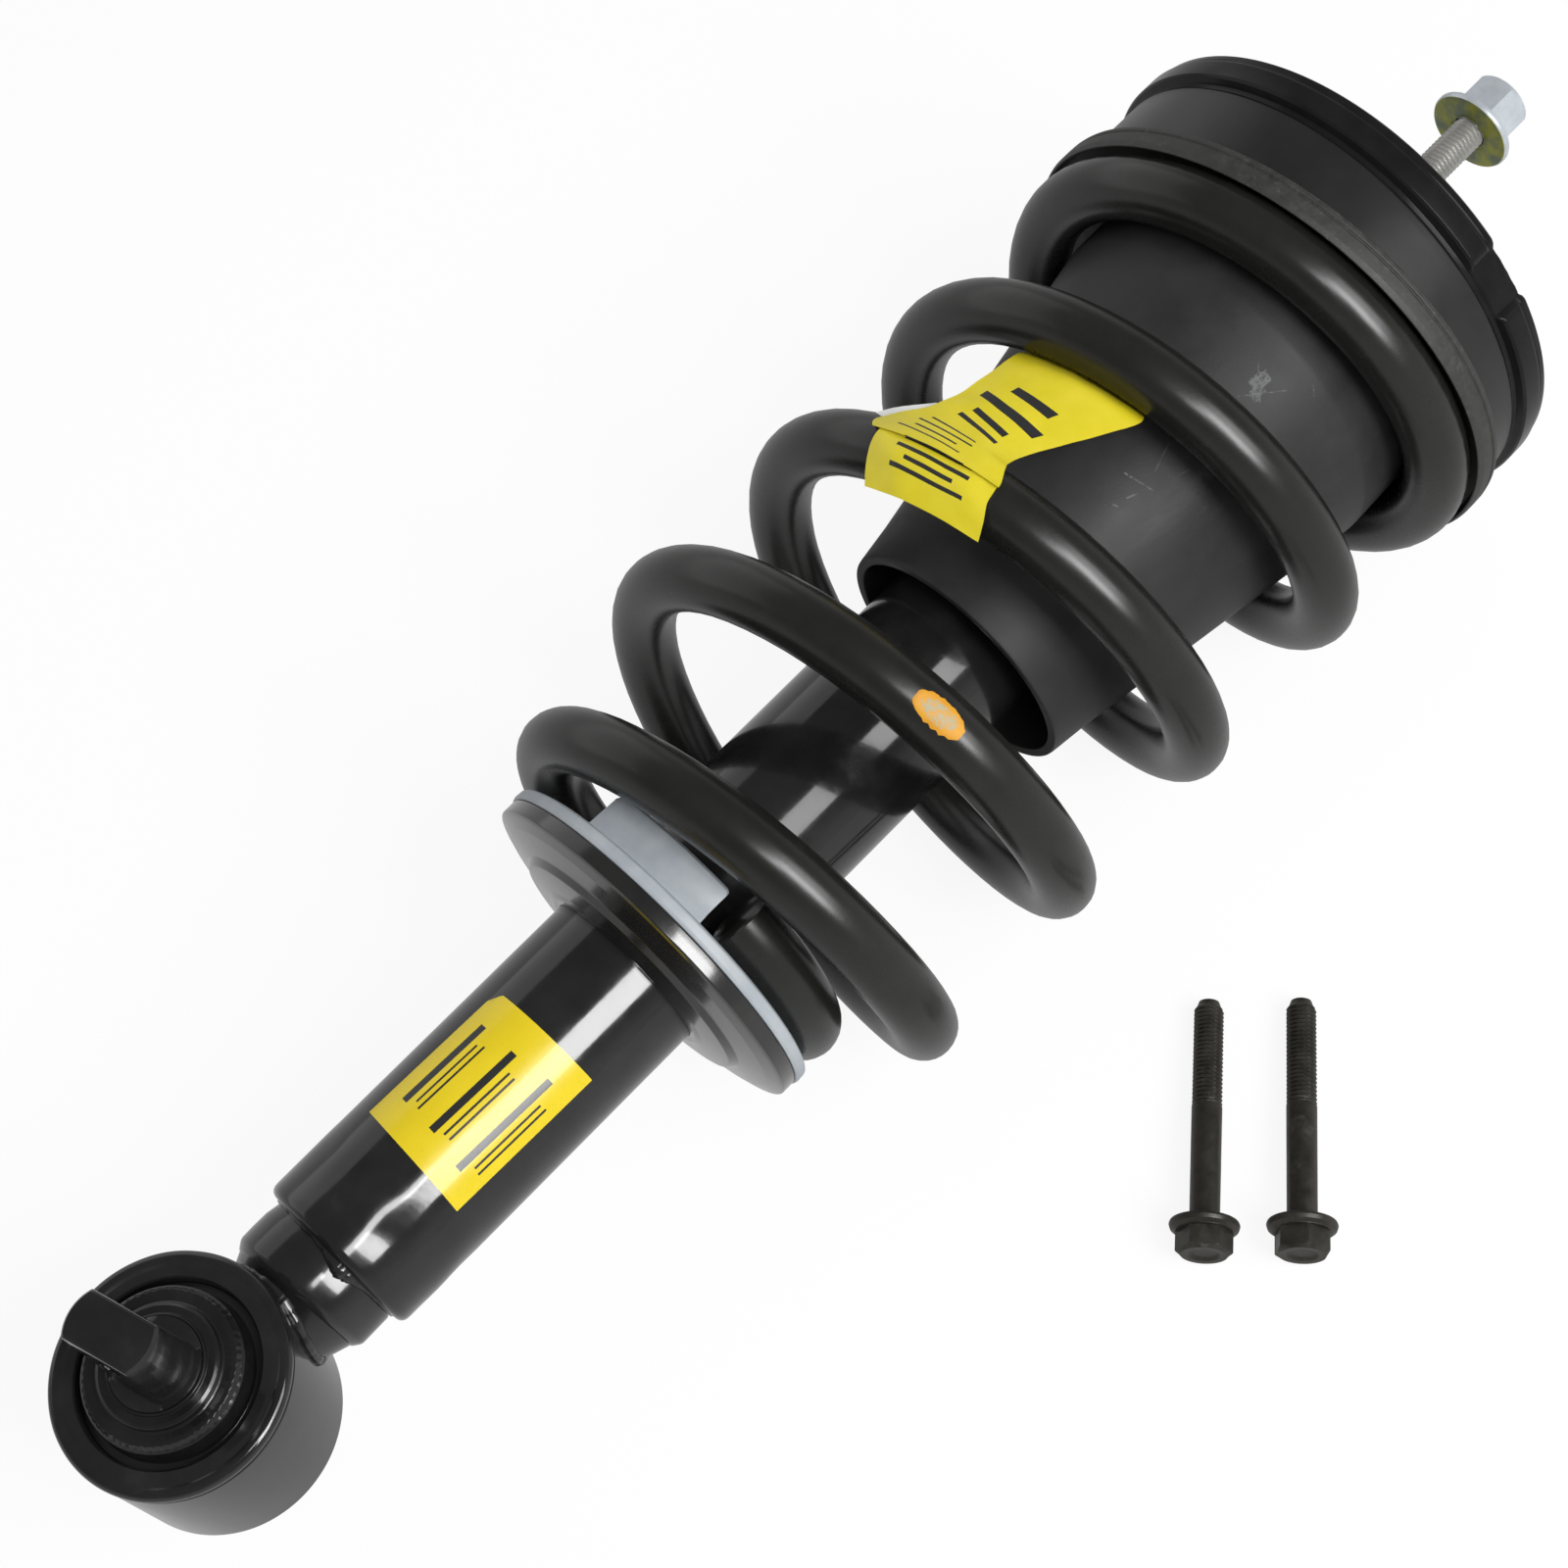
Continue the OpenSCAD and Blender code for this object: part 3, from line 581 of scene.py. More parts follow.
def saddle(r, a, can_r):
    """How far along the strut a line at r and a meets the eye's can."""
    across = r * math.sin(math.radians(FACE + a))
    return math.sqrt(max(can_r ** 2 - across ** 2, 0.0))


def collar_foot(a):
    """Where the collar's chamfered end stops short of the can."""
    return 39.2 + 2.0 * math.cos(math.radians(a - 60))


def make_neck():
    """Collar with a chamfered end, on a thinner throat that meets the can."""
    rings = []
    rows = [(14.0, NECK_R - 0.9), (13.4, NECK_R - 0.1), (8.0, NECK_R), (3.6, NECK_R), (2.8, NECK_R - 0.15),
            (2.0, NECK_R - 0.6), (0.6, NECK_R - 1.6), (0.2, NECK_R - 2.0), (0.0, NECK_R - 2.4)]
    angles = [2.8125 * k for k in range(128)]
    for above, r in rows:
        ring = []
        for a in angles:
            foot = max(collar_foot(a), saddle(r, a, CAN_R) + 0.2)
            x = TUBE_X0 + 0.6 if above > 13.9 else min(foot + above, TUBE_X0 + 0.3)
            ring.append(on_strut(x, r + ripple(x, a, 0.35), a))
        rings.append(ring)
    throat = NECK_R - 5.4
    rings.append([on_strut(saddle(throat, a, CAN_R - 0.4), throat, a) for a in angles])
    make_piece("neck_collar", skin("neck_collar", rings, caps=False), GLOSS_BLACK, "lower",
               stands_for=("neck",))


def weld_bead(name, line, size, lump, seed):
    """A lumpy bead of weld: line gives its middle (x, r) and what it is thicker by, at each angle a."""
    rings = []
    count = 220
    for k in range(count):
        a = 360.0 * k / count
        c, s = cos_sin(a)

        def uneven(scale):
            return noise.noise(Vector((c * scale, s * scale, seed)))
        x, r, extra = line(a)
        bead = size + lump * (uneven(3) + 0.6 * uneven(9)) + extra * (1 + 0.5 * uneven(30))
        around = [cos_sin(30 * j) for j in range(12)]
        rings.append([on_strut(x + bead * up, r + 0.75 * bead * out, a) for out, up in around])
    make_piece(name, skin(name, rings, loop=True), GLOSS_BLACK, "lower", 80)


def make_neck_welds():
    """Welds at the tube, with a blob where the bead was closed, and at the can."""
    def blob(a, middle_a, width):
        away = (a + 180) % 360 - 180
        return math.exp(-((away - middle_a) / width) ** 2)

    def at_tube(a):
        lump = blob(a, 8, 16)
        return TUBE_X0 + 0.6 - 1.6 * lump, NECK_R - 0.1 + 0.5 * lump, 1.5 * lump

    def at_can(a):
        return saddle(NECK_R - 5, a, CAN_R) + 1.0, NECK_R - 4.9, 0.8 * blob(a, -8, 30)
    weld_bead("tube_weld", at_tube, 1.1, 0.5, 2.0)
    weld_bead("can_weld", at_can, 1.5, 0.5, 9.0)


def make_eye_can():
    """Turned can with a sharp lower end and a rolled upper end."""
    corners = [(-CAN_HALF, 28.1, 0.2), (-CAN_HALF, CAN_R - 0.5, 0.2), (-CAN_HALF + 0.6, CAN_R, 0.3),
               (21.6, CAN_R, 0.5), (22.0, CAN_R - 0.4, 0.2), (22.7, CAN_R - 0.2, 0.3)]
    roll = [cos_sin(b) for b in range(-38, 89, 9)]
    corners += [(24.6 + 2.5 * s, ROLL_R - 2.5 + 2.5 * c, 0) for c, s in roll]
    corners += [(CAN_HALF - 0.3, 33.6, 0.3), (CAN_HALF - 0.45, 33.0, 0.3), (CAN_HALF - 0.2, 31.5, 0.6),
                (CAN_HALF - 0.2, 28.6, 0.3), (CAN_HALF - 1.0, 28.0, 0.5)]

    def shape(z, r, a):
        c, s = cos_sin(a)
        dent = 0.35 * noise.noise(Vector((c * 3, s * 3, 0)))
        return z + (dent if z > 20 else 0.4 * dent) * (0.0 if r < 28.3 else 1.0) - 0.2, r
    turned("eye_can", corners, GLOSS_BLACK, "lower", place=on_pin, loop=True, segments=160, shape=shape,
           stands_for=("eye_ring",))


def make_eye_bush():
    """Rubber boss with a knurled edge, a step and a thin collar at the pin."""
    half = [(22.3, BUSH_R, 0.3), (22.3, BOSS_R + 0.4, 0.8), (31.2, BOSS_R, 0.6), (31.9, 23.9, 0.4),
            (33.5, 23.0, 0.4), (33.6, 21.6, 0.3), (33.3, 19.4, 0.4), (33.6, 18.8, 0.3), (35.3, STEP_R, 0.5),
            (36.0, 17.4, 0.5), (35.8, 15.2, 0.3), (36.9, 14.8, 0.2), (37.1, 14.15, 0.2)]
    lower = [(-x, r, fillet) for x, r, fillet in reversed(half)]

    def shape(z, r, a):
        knurled = abs(z) > 31.6 and r > 21.0
        depth = 0.22 + 0.3 * noise.noise(Vector((a * 0.35, z, 0)))
        return z, r - (depth if knurled and a % 6 < 3 else 0.0)
    turned("bonded_bush", lower + half, MOULDED_BLACK, "lower", place=on_pin, loop=True, segments=240,
           shape=shape, stands_for=("eye_bushing",))


PIN_HALF = 74.0
PIN_BEVEL_Z = 72.8
PIN_R = 14.0
PIN_FLAT = 15.5
PIN_TWIST = 15.0
PIN_HOLE_Z = 60.0
PIN_HOLE_R = 5.5


def drilled(piece, radius, depth, matrix):
    """The piece's mesh with a round hole cut through it."""
    form = bmesh.new()
    bmesh.ops.create_cone(form, cap_ends=True, segments=48, radius1=radius, radius2=radius,
                          depth=depth, matrix=matrix)
    tool = linked("drill", bpy.data.meshes.new("drill"))
    form.to_mesh(tool.data)
    form.free()
    step = piece.modifiers.new("cut", "BOOLEAN")
    step.object = tool
    step.operation = "DIFFERENCE"
    step.solver = "EXACT"
    graph = bpy.context.evaluated_depsgraph_get()
    mesh = bpy.data.meshes.new_from_object(piece.evaluated_get(graph))
    piece.modifiers.clear()
    bpy.data.objects.remove(tool, do_unlink=True)
    return mesh


def make_bar_pin():
    """Round bar with a pair of flats milled on each end and a bolt hole through each."""
    centre = Matrix.Translation(EYE) @ Matrix.Rotation(math.radians(PIN_TWIST), 4, "Z")
    rings = []
    half = [(37.3, PIN_R), (37.9, 9.6), (40.0, 8.7), (50.0, 8.3), (62.0, 8.0), (PIN_BEVEL_Z, PIN_FLAT / 2),
            (73.6, PIN_FLAT / 2 - 0.25), (PIN_HALF, PIN_FLAT / 2 - 0.9)]
    levels = [(-z, flat) for z, flat in reversed(half)] + half
    for z, flat in levels:
        round_r = PIN_R - max(0.0, abs(z) - PIN_BEVEL_Z) * 0.75
        ring = []
        for k in range(144):
            b = 2 * math.pi * k / 144
            x = round_r * math.cos(b)
            if flat < PIN_R:
                x = math.copysign(soft_min(abs(x), flat, 0.5), x)
            ring.append(centre @ (MM * Vector((x, round_r * math.sin(b), z))))
        rings.append(ring)
    blank = linked("bar_pin_blank", skin("bar_pin_forged", rings))
    for side in (-1, 1):
        across = (centre @ Matrix.Translation((0, 0, side * PIN_HOLE_Z * MM))
                  @ Matrix.Rotation(math.radians(90), 4, "Y"))
        blank.data = drilled(blank, PIN_HOLE_R * MM, 2 * PIN_R * MM, across)
    mesh = blank.data
    bpy.data.objects.remove(blank, do_unlink=True)
    make_piece("bar_pin_forged", mesh, GLOSS_BLACK, "pin", 30, ("bar_pin",))


# ---- lower seat

SEAT_R = 62.0
SEAT_TOP = 192.4
PAD_TOP = 197.3


def make_seat_dish():
    """Shallow pressed dish with an upstanding rim, on a short collar round the tube."""
    under = [(179.8, 28.6, 0.3), (179.8, 31.2, 0.6), (180.4, 33.6, 2.0), (181.6, 44.0, 1.2),
             (183.6, 46.2, 1.2), (185.4, 56.0, 3.0), (186.8, 60.6, 0.9), (187.4, SEAT_R, 0.7),
             (SEAT_TOP, SEAT_R, 0.6), (SEAT_TOP, SEAT_R - 2.2, 0.4)]
    over = [(190.2, 59.6, 1.0), (188.2, 56.4, 3.0), (186.1, 50.0, 4.0), (185.0, 42.0, 4.0),
            (184.4, 31.6, 0.5), (SEAT_TOP, 31.4, 0.3), (SEAT_TOP, 28.6, 0.3)]
    turned("seat_dish", under + over, SEAT_BLACK, "lower", loop=True, segments=160,
           stands_for=("spring_seat",))


def make_pad():
    corners = [(192.45, 30.0, 0.4), (192.45, 62.4, 0.6), (193.6, 62.8, 0.6), (PAD_TOP - 0.8, 62.6, 1.0),
               (PAD_TOP, 60.8, 0.6), (PAD_TOP, 44.0, 0.6), (PAD_TOP + 3, 41.4, 0.8),
               (PAD_TOP + 3, 30.0, 0.5)]
    turned("seat_pad_ring", corners, PAD_PLASTIC, "lower", loop=True, stands_for=("seat_pad",))


def make_pad_step():
    """The upstanding block on the pad that the spring's tip faces, hollowed on its outer side."""
    inner, outer = 41.6, 60.4
    foot, top = PAD_TOP - 0.5, PAD_TOP + 13.6
    rings = []
    count = 40
    for k in range(count + 1):
        a = -40.5 + 45.5 * k / count
        ends = 0.7 if k in (0, count) else 0.0
        hollow = 1.3 * smooth((k / count) * 3)
        outline = [(foot, inner), (foot, outer), (foot + 1.6, outer - 0.4),
                   (foot + 4.0, outer - 0.5 - hollow), (foot + 8.0, outer - 0.8 - hollow),
                   (top - 2.5, outer - 1.0 - 0.4 * hollow),
                   (top - 0.9 - ends, outer - 1.0 - ends), (top - ends, outer - 2.0),
                   (top - ends, inner + 1.2), (top - 1.2 - ends, inner + ends)]
        rings.append([on_strut(x, r, a) for x, r in outline])
    step = make_piece("pad_step", skin("pad_step", rings), PAD_PLASTIC, "lower", 30)
    end = on_strut(foot, 1, 4.6) - on_strut(foot, 0, 4.6)
    across = on_strut(foot, 1, 94.6) - on_strut(foot, 0, 94.6)
    second_finish(step, PAD_END, lambda p: (p - EYE).dot(across) > -0.0002 * (p - EYE).dot(end))


# ---- spring and what is on it

WIRE_R = 10.5
COIL_R = 79.6
COIL_TOP_R = 77.9
PIGTAIL_R = 52.6
COIL_PITCH = 64.3
COIL_LEAN = 2.2
TIP_A = 13.5
END_A = TIP_A + 130 * 15
HEAD_X = 485.0
HEAD_SLOPE = math.tan(math.radians(4.55))


def smooth(t):
    t = max(0.0, min(1.0, t))
    return t * t * (3 - 2 * t)


def bend(x, width):
    """A line that starts flat: 0 well below 0 and x well above it."""
    if x < -width:
        return 0.0
    return x if x > width else (x + width) ** 2 / (4 * width)


def soft_min(first, second, width):
    near = max(0.0, width - abs(first - second))
    return min(first, second) - near * near / (4 * width)


def coil_radius(a):
    return (PIGTAIL_R + (COIL_R - PIGTAIL_R) * smooth((a - 90) / 370)
            + (COIL_TOP_R - COIL_R) * smooth((a - 460) / (END_A - 460)))


def coil_x(a):
    side = math.sin(math.radians(a))
    free = (PAD_TOP + 0.2 + WIRE_R + COIL_PITCH / 360 * bend(a - 288, 120)
            - COIL_LEAN * side * smooth((a - 300) / 150))
    head = HEAD_X + coil_radius(a) * HEAD_SLOPE * side - (WIRE_R + 0.2) / math.cos(math.atan(HEAD_SLOPE))
    return soft_min(free, head, 8)


def coil_point(a):
    return on_strut(coil_x(a), coil_radius(a), a)


def wire_frame(a):
    """Middle of the wire at a, and the directions out of the coil and up the strut."""
    way = (coil_point(a + 0.5) - coil_point(a - 0.5)).normalized()
    out = (on_strut(0, 100, a) - on_strut(0, 0, a)).normalized()
    out = (out - way * out.dot(way)).normalized()
    return coil_point(a), out, way.cross(out)


def round_wire(a, r, sides=28):
    centre, out, up = wire_frame(a)
    angles = [2 * math.pi * k / sides for k in range(sides)]
    return [centre + MM * r * (math.cos(b) * out + math.sin(b) * up) for b in angles]


def make_spring():
    rings = [round_wire(TIP_A, WIRE_R - 0.8)]
    a = TIP_A + 0.6
    while a < END_A - 0.6:
        rings.append(round_wire(a, WIRE_R))
        a += 6
    rings += [round_wire(END_A - 0.6, WIRE_R), round_wire(END_A, WIRE_R - 0.8)]
    spring = make_piece("wound_spring", skin("wound_spring", rings), SPRING_BLACK, "lower", 40,
                        ("coil_spring",))
    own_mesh(spring)


def make_paint_dab():
    """A brushed patch of marking paint on the front of a coil."""
    rings = []
    for k in range(25):
        a = 721.2 + 11.6 * k / 24
        centre, out, up = wire_frame(a)
        bow = math.sqrt(max(0.0, 1 - ((k - 12) / 12.6) ** 2))
        low = 4 - 26 * bow + 4 * noise.noise(Vector((k * 0.55, 2.0, 0.0)))
        high = 7 + 22 * bow + 4 * noise.noise(Vector((k * 0.5, 7.0, 0.0)))
        ring = []
        for j in range(13):
            c, s = cos_sin(low + (high - low) * j / 12)
            lift = 0.04 if j in (0, 12) or k in (0, 24) else 0.14
            ring.append(centre + MM * (WIRE_R + lift) * (c * out + s * up))
        rings.append(ring)
    scrapes = []
    for a, b, half_length, half_width in ((726.8, 7, 6.4, 1.1), (727.2, -1, 6.0, 1.1), (726.4, 13, 5.0, 0.7),
                                          (727.6, -9, 4.6, 0.6), (727.2, 19, 3.0, 0.35)):
        centre, out, up = wire_frame(a)
        way = (coil_point(a + 1) - coil_point(a - 1)).normalized()
        c, s = cos_sin(b)
        spot = centre + MM * WIRE_R * (c * out + s * up)
        scrapes.append((spot, way, half_length * MM, half_width * MM, 0.9))
    add_scratches(PAINT_DAB, scrapes, (0.34, 0.33, 0.21))
    mesh = skin("paint_dab", rings, caps=False, round_rings=False)
    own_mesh(make_piece("paint_dab", mesh, PAINT_DAB, "lower"))


def film(name, rows, thickness, prints):
    """A printed film from rows of points, and its backs; prints gives (u, v) for shares down and across."""
    count = len(rows[0])
    last = len(rows) - 1

    def slope(i, j):
        down = rows[min(i + 1, last)][j] - rows[max(i - 1, 0)][j]
        side = rows[i][min(j + 1, count - 1)] - rows[i][max(j - 1, 0)]
        return down.cross(side).normalized()
    outward = [[slope(i, j) for j in range(count)] for i in range(last + 1)]
    middle_out = rows[last // 2][count // 2] - on_strut(360, 0, 0)
    if outward[last // 2][count // 2].dot(middle_out) < 0:
        outward = [[-way for way in line] for line in outward]
    front = sum(rows, [])
    back = [point - way * thickness * MM for point, way in zip(front, sum(outward, []))]
    size = len(front)
    starts = [i * count + j for i in range(last) for j in range(count - 1)]
    faces = [(k, k + 1, k + count + 1, k + count) for k in starts]
    faces += [tuple(size + k for k in reversed(face)) for face in faces]
    edge = (list(range(count)) + [i * count + count - 1 for i in range(1, last + 1)]
            + [last * count + j for j in range(count - 2, -1, -1)]
            + [i * count for i in range(last - 1, 0, -1)])
    for here, ahead in zip(edge, edge[1:] + edge[:1]):
        faces.append((here, ahead, size + ahead, size + here))
    mesh = new_mesh(name, front + back, faces)
    uv = mesh.uv_layers.new(name="print")
    for loop in mesh.loops:
        i, j = divmod(loop.vertex_index % size, count)
        uv.data[loop.index].uv = prints(i / last, j / (count - 1))
    return mesh, range(last * (count - 1), 2 * last * (count - 1))


def joined(name, parts):
    """Several film meshes as one, with the backs of all of them listed."""
    mesh = bpy.data.meshes.new(name)
    form = bmesh.new()
    backs = []
    total = 0
    for part, part_backs in parts:
        backs += [total + k for k in part_backs]
        total += len(part.polygons)
        form.from_mesh(part)
    bmesh.ops.recalc_face_normals(form, faces=form.faces)
    form.to_mesh(mesh)
    form.free()
    for part, _ in parts:
        bpy.data.meshes.remove(part)
    return mesh, backs


def through(keys, steps):
    """A smooth line of (steps per span) through key tuples."""
    line = []
    for i in range(len(keys) - 1):
        before, start = keys[max(i - 1, 0)], keys[i]
        end, after = keys[i + 1], keys[min(i + 2, len(keys) - 1)]
        for s in range(steps + (i == len(keys) - 2)):
            t = s / steps
            line.append(tuple(
                0.5 * (2 * q + (r - p) * t + (2 * p - 5 * q + 4 * r - w) * t * t
                       + (3 * q - p - 3 * r + w) * t ** 3)
                for p, q, r, w in zip(before, start, end, after)))
    return line


def film_rows(keys, steps, width, crinkle, seed):
    """Rows of a film from key rows: left x, a, r, then right x, a, r, then the middle's swell."""
    rows = []
    for x0, a0, r0, x1, a1, r1, swell in through(keys, steps):
        row = []
        for j in range(width):
            t = j / (width - 1)
            x = x0 + (x1 - x0) * t
            a = a0 + (a1 - a0) * t
            crease = crinkle * noise.noise(Vector((x * 0.12, a * 0.13, seed)))
            row.append(on_strut(x, r0 + (r1 - r0) * t + swell * math.sin(math.pi * t) + crease, a))
        rows.append(row)
    return rows


TAG_SHEET = [
    (409.0, -45.0, 66.9, 413.0, -8.0, 66.9, 0.0), (401.0, -44.0, 69.6, 405.5, -7.5, 69.6, 0.0),
    (395.5, -42.0, 75.0, 402.0, -6.5, 74.5, 0.0), (389.7, -39.2, 80.0, 396.0, -6.4, 80.0, 0.3),
    (380.0, -38.8, 82.6, 380.0, -11.6, 82.6, 0.2), (368.8, -39.2, 84.6, 365.0, -17.0, 84.6, 0.0),
    (360.5, -40.2, 86.4, 358.0, -18.2, 87.0, 0.2), (353.0, -43.6, 88.2, 354.5, -17.4, 89.6, 0.5),
    (345.9, -47.3, 89.6, 349.8, -15.7, 90.6, 1.0), (342.0, -45.4, 91.4, 347.6, -15.2, 91.4, 0.6)]
TAG_WRAP = [
    (350.5, -41.6, 88.4, 354.5, -18.5, 89.3, 0.3), (343.6, -43.4, 90.4, 348.9, -16.0, 90.5, 0.3),
    (337.5, -43.2, 89.6, 342.5, -15.0, 90.0, 0.4), (331.2, -41.6, 86.8, 337.8, -13.2, 87.6, 0.3),
    (326.4, -39.5, 83.6, 333.2, -11.6, 84.0, 0.2)]
TAG_CURL = [
    (362.0, -41.6, 84.8, 361.0, -36.0, 84.4, 0.0), (357.5, -44.4, 86.2, 356.0, -37.0, 86.0, 0.0),
    (352.8, -48.0, 87.0, 350.5, -38.5, 87.4, 0.0), (348.6, -50.6, 87.6, 346.5, -40.0, 88.2, 0.0)]


def make_tag():
    """A crinkled film from behind one coil, narrowed between, lapped over a second film round the next."""
    thickness = 0.22

    def sheet_print(down, across):
        return across, 1 - 0.62 * max(0.0, down - 0.22) / 0.78

    def wrap_print(down, across):
        return across, 0.44 - 0.40 * down
    sheet = film("tag_sheet", film_rows(TAG_SHEET, 5, 25, 0.8, 1.0), thickness, sheet_print)
    wrap = film("tag_wrap", film_rows(TAG_WRAP, 6, 25, 1.0, 8.0), thickness, wrap_print)
    curl_mesh, curl_backs = film("tag_curl", film_rows(TAG_CURL, 5, 9, 0.3, 5.0), thickness, sheet_print)
    curl = curl_mesh, [k for k in range(len(curl_mesh.polygons)) if k not in curl_backs]
    mesh, backs = joined("spring_tag_film", [sheet, wrap, curl])
    tag = make_piece("spring_tag_film", mesh, TAG_FILM, "lower", 50, ("spring_tag",))
    tag.data.materials.append(FILM_BACK)
    for k in backs:
        tag.data.polygons[k].material_index = 1
    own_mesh(tag)


def make_tube_label():
    corners = ((145.6, -52.6), (146.4, 34.7), (93.1, -56.7), (90.6, 32.6))
    rows = []
    for i in range(25):
        t = i / 24
        row = []
        for j in range(41):
            u = j / 40
            top, low = ([p[k] + (q[k] - p[k]) * u for k in (0, 1)] for p, q in (corners[:2], corners[2:]))
            x, a = (top[k] + (low[k] - top[k]) * t for k in (0, 1))
            worn = max(0.0, 1 - 12 * t - 14 * u)
            row.append(on_strut(x - 2.5 * worn, TUBE_R + 0.25 - 0.1 * worn, a + 2 * worn))
        rows.append(row)

    def prints(down, across):
        return 1 - down, 1 - across
    mesh, _ = film("tube_label_film", rows, 0.2, prints)
    make_piece("tube_label_film", mesh, TUBE_LABEL, "lower", stands_for=("tube_label",))


# ---- boot, insulator and mount cup

BOOT_LEAN = math.radians(1.3)


def leaning(x, r, a):
    """A point of the boot: the boot hangs a little to one side from its head."""
    drop = (HEAD_X - x) * math.sin(BOOT_LEAN)
    side = on_strut(0, 1, 90) - on_strut(0, 0, 90)
    return on_strut(x, r, a) + side * drop


def make_boot():
    corners = [(328.2, 40.4, 0.8), (328.2, 43.7, 0.8), (330.0, 44.1, 0.8), (343.5, 45.9, 6.0),
               (458.0, 65.4, 12.0), (482.0, 65.4, 1.0), (482.0, 46.0, 0.5), (479.0, 46.0, 0.5),
               (479.0, 62.4, 2.0), (457.0, 62.4, 6.0), (344.0, 42.9, 2.0)]
    turned("dust_boot", corners, BOOT_RUBBER, "upper", place=leaning, loop=True, stands_for=("boot",))


LIP_R = 90.1


def sloping(x, r, a):
    """A point over the spring's sloping upper seat, x above it."""
    return on_strut(HEAD_X + x + r * HEAD_SLOPE * math.sin(math.radians(a)), r, a)


def make_insulator():
    corners = [(0, 66.0, 0.8), (0, 87.4, 0.8), (-1.6, 88.3, 0.5), (-4.8, 88.6, 0.4), (-5.0, 89.4, 0.4),
               (-3.0, LIP_R, 1.0), (1.2, LIP_R, 1.0), (1.8, 89.3, 0.4), (2.4, LIP_R, 0.6), (4.4, 89.7, 0.9),
               (5.0, 86.5, 0.6), (5.0, 66.0, 0.6)]
    turned("insulator_ring", corners, LIP_RUBBER, "upper", place=sloping, loop=True, segments=160,
           stands_for=("upper_insulator",))


RIM_R = 88.0
RIM_X0 = 511.7
RIM_X1 = 524.0
CUP_R = 85.5
NOTCH_A0 = 19.6
NOTCH_A1 = 34.4


def cup_point(x, r, a):
    """A point of the cup: x below 0 is a height over the sloping seat, with its sign turned."""
    return sloping(-x, r, a) if x < 0 else on_strut(x, r, a)


def make_mount_cup():
    corners = [(-5.1, 38.2, 0.6), (-5.1, CUP_R - 1, 1.5), (-7.0, CUP_R, 1.0), (505.0, CUP_R, 1.5),
               (RIM_X0 - 3.4, CUP_R, 0.6), (RIM_X0 - 2.2, CUP_R - 0.9, 0.6), (RIM_X0 - 0.6, CUP_R - 0.7, 0.4),
               (RIM_X0 + 0.2, RIM_R - 0.7, 0.4), (RIM_X0 + 1.0, RIM_R, 0.5), (RIM_X1 - 4.6, RIM_R, 1.0),
               (RIM_X1 - 3.6, RIM_R - 0.9, 0.5), (RIM_X1 - 2.8, RIM_R - 0.8, 0.4),
               (RIM_X1 - 0.9, RIM_R - 1.0, 0.6), (RIM_X1, RIM_R - 2.0, 0.6), (RIM_X1, 83.4, 0.5),
               (RIM_X1 - 2.2, 83.0, 0.4), (505.0, 83.0, 0.5), (-9.6, 83.0, 2.0), (-7.6, 80.0, 1.0),
               (-7.6, 38.2, 0.6)]

    def shape(x, r, a):
        """The rim's outer fold is missing over the notch, where its edge is torn down."""
        if x < RIM_X0 - 2:
            return x, r
        a = (a + 180) % 360 - 180
        notch = smooth((a - NOTCH_A0) / 1.2) * smooth((NOTCH_A1 - a) / 1.2)
        torn = 0.4 * noise.noise(Vector((a * 0.6, x * 0.4, 0)))
        in_r = min(r, CUP_R + 0.2 + torn) if notch > 0 else r
        drop = 1.4 * max(0.0, 1 - (RIM_X1 - x) / 3.0)
        return x - drop * notch, r + (in_r - r) * notch
    cup = turned("mount_cup_pressing", corners, CUP_BLACK, "upper", place=cup_point, loop=True,
                 segments=360, shape=shape, stands_for=("mount_cup",))
    second_finish(cup, RIM_BLACK, lambda p: along_strut(p) > RIM_X0 - 3.2)


# ---- threads, nut and bolts

def hex_radius(flats, a):
    """Distance from the middle of a hexagon to its side, in the direction a."""
    return flats / 2 / math.cos(math.radians((a % 60) - 30))


def make_nut():
    flats, flange = 20.9, 15.5
    x0, x1 = 595.4, 614.0
    corners = [(x0, 6.3, 0.2), (x0 + 0.5, 6.6, 0.2), (x0, 7.6, 0.2), (x0, flange - 0.6, 0.6),
               (x0 + 1.0, flange, 0.6), (x0 + 2.4, flange, 0.6), (x0 + 3.2, flange - 1.2, 0.8),
               (x0 + 4.4, 12.4, 0.8), (x0 + 5.4, 12.0, 0.5), (x1 - 3.4, 12.0, 0.8), (x1 - 1.0, 10.7, 0.8),
               (x1, 9.0, 0.6), (x1, 7.0, 0.3), (x1 - 1.0, 6.2, 0.2)]

    def shape(x, r, a):
        return x, min(r, hex_radius(flats, a)) if x > x0 + 3.8 and r > 8.0 else r
    nut = turned("flange_nut", corners, ZINC, "nut", loop=True, segments=144, shape=shape, sharp=25,
                 stands_for=("top_nut",))
    # The faces under the flange alone take the yellow-green colour.
    second_finish(nut, ZINC_YELLOW_UNDERSIDE, lambda p: along_strut(p) < x0 + 0.5)


def threaded_rings(x0, x1, radius, pitch, place, segments=40, rows=7, runout=1.5):
    """Rings of a right-handed thread from x0 to x1, fading into the plain bar at x0."""
    depth = 0.61 * pitch
    rings = []
    count = int((x1 - x0) / pitch * rows)
    for i in range(count + 1):
        x = x0 + (x1 - x0) * i / count
        fade = min(1.0, (x - x0) / (runout * pitch))
        end = max(0.0, 1 - (x1 - x) / 1.2) * depth
        ring = []
        for k in range(segments):
            a = 360.0 * k / segments
            phase = ((x / pitch) - a / 360.0) % 1.0
            cut = (1 - abs(2 * phase - 1)) * depth
            ring.append(place(x, radius - min(depth, max(cut * fade, end)), a))
        rings.append(ring)
    return rings


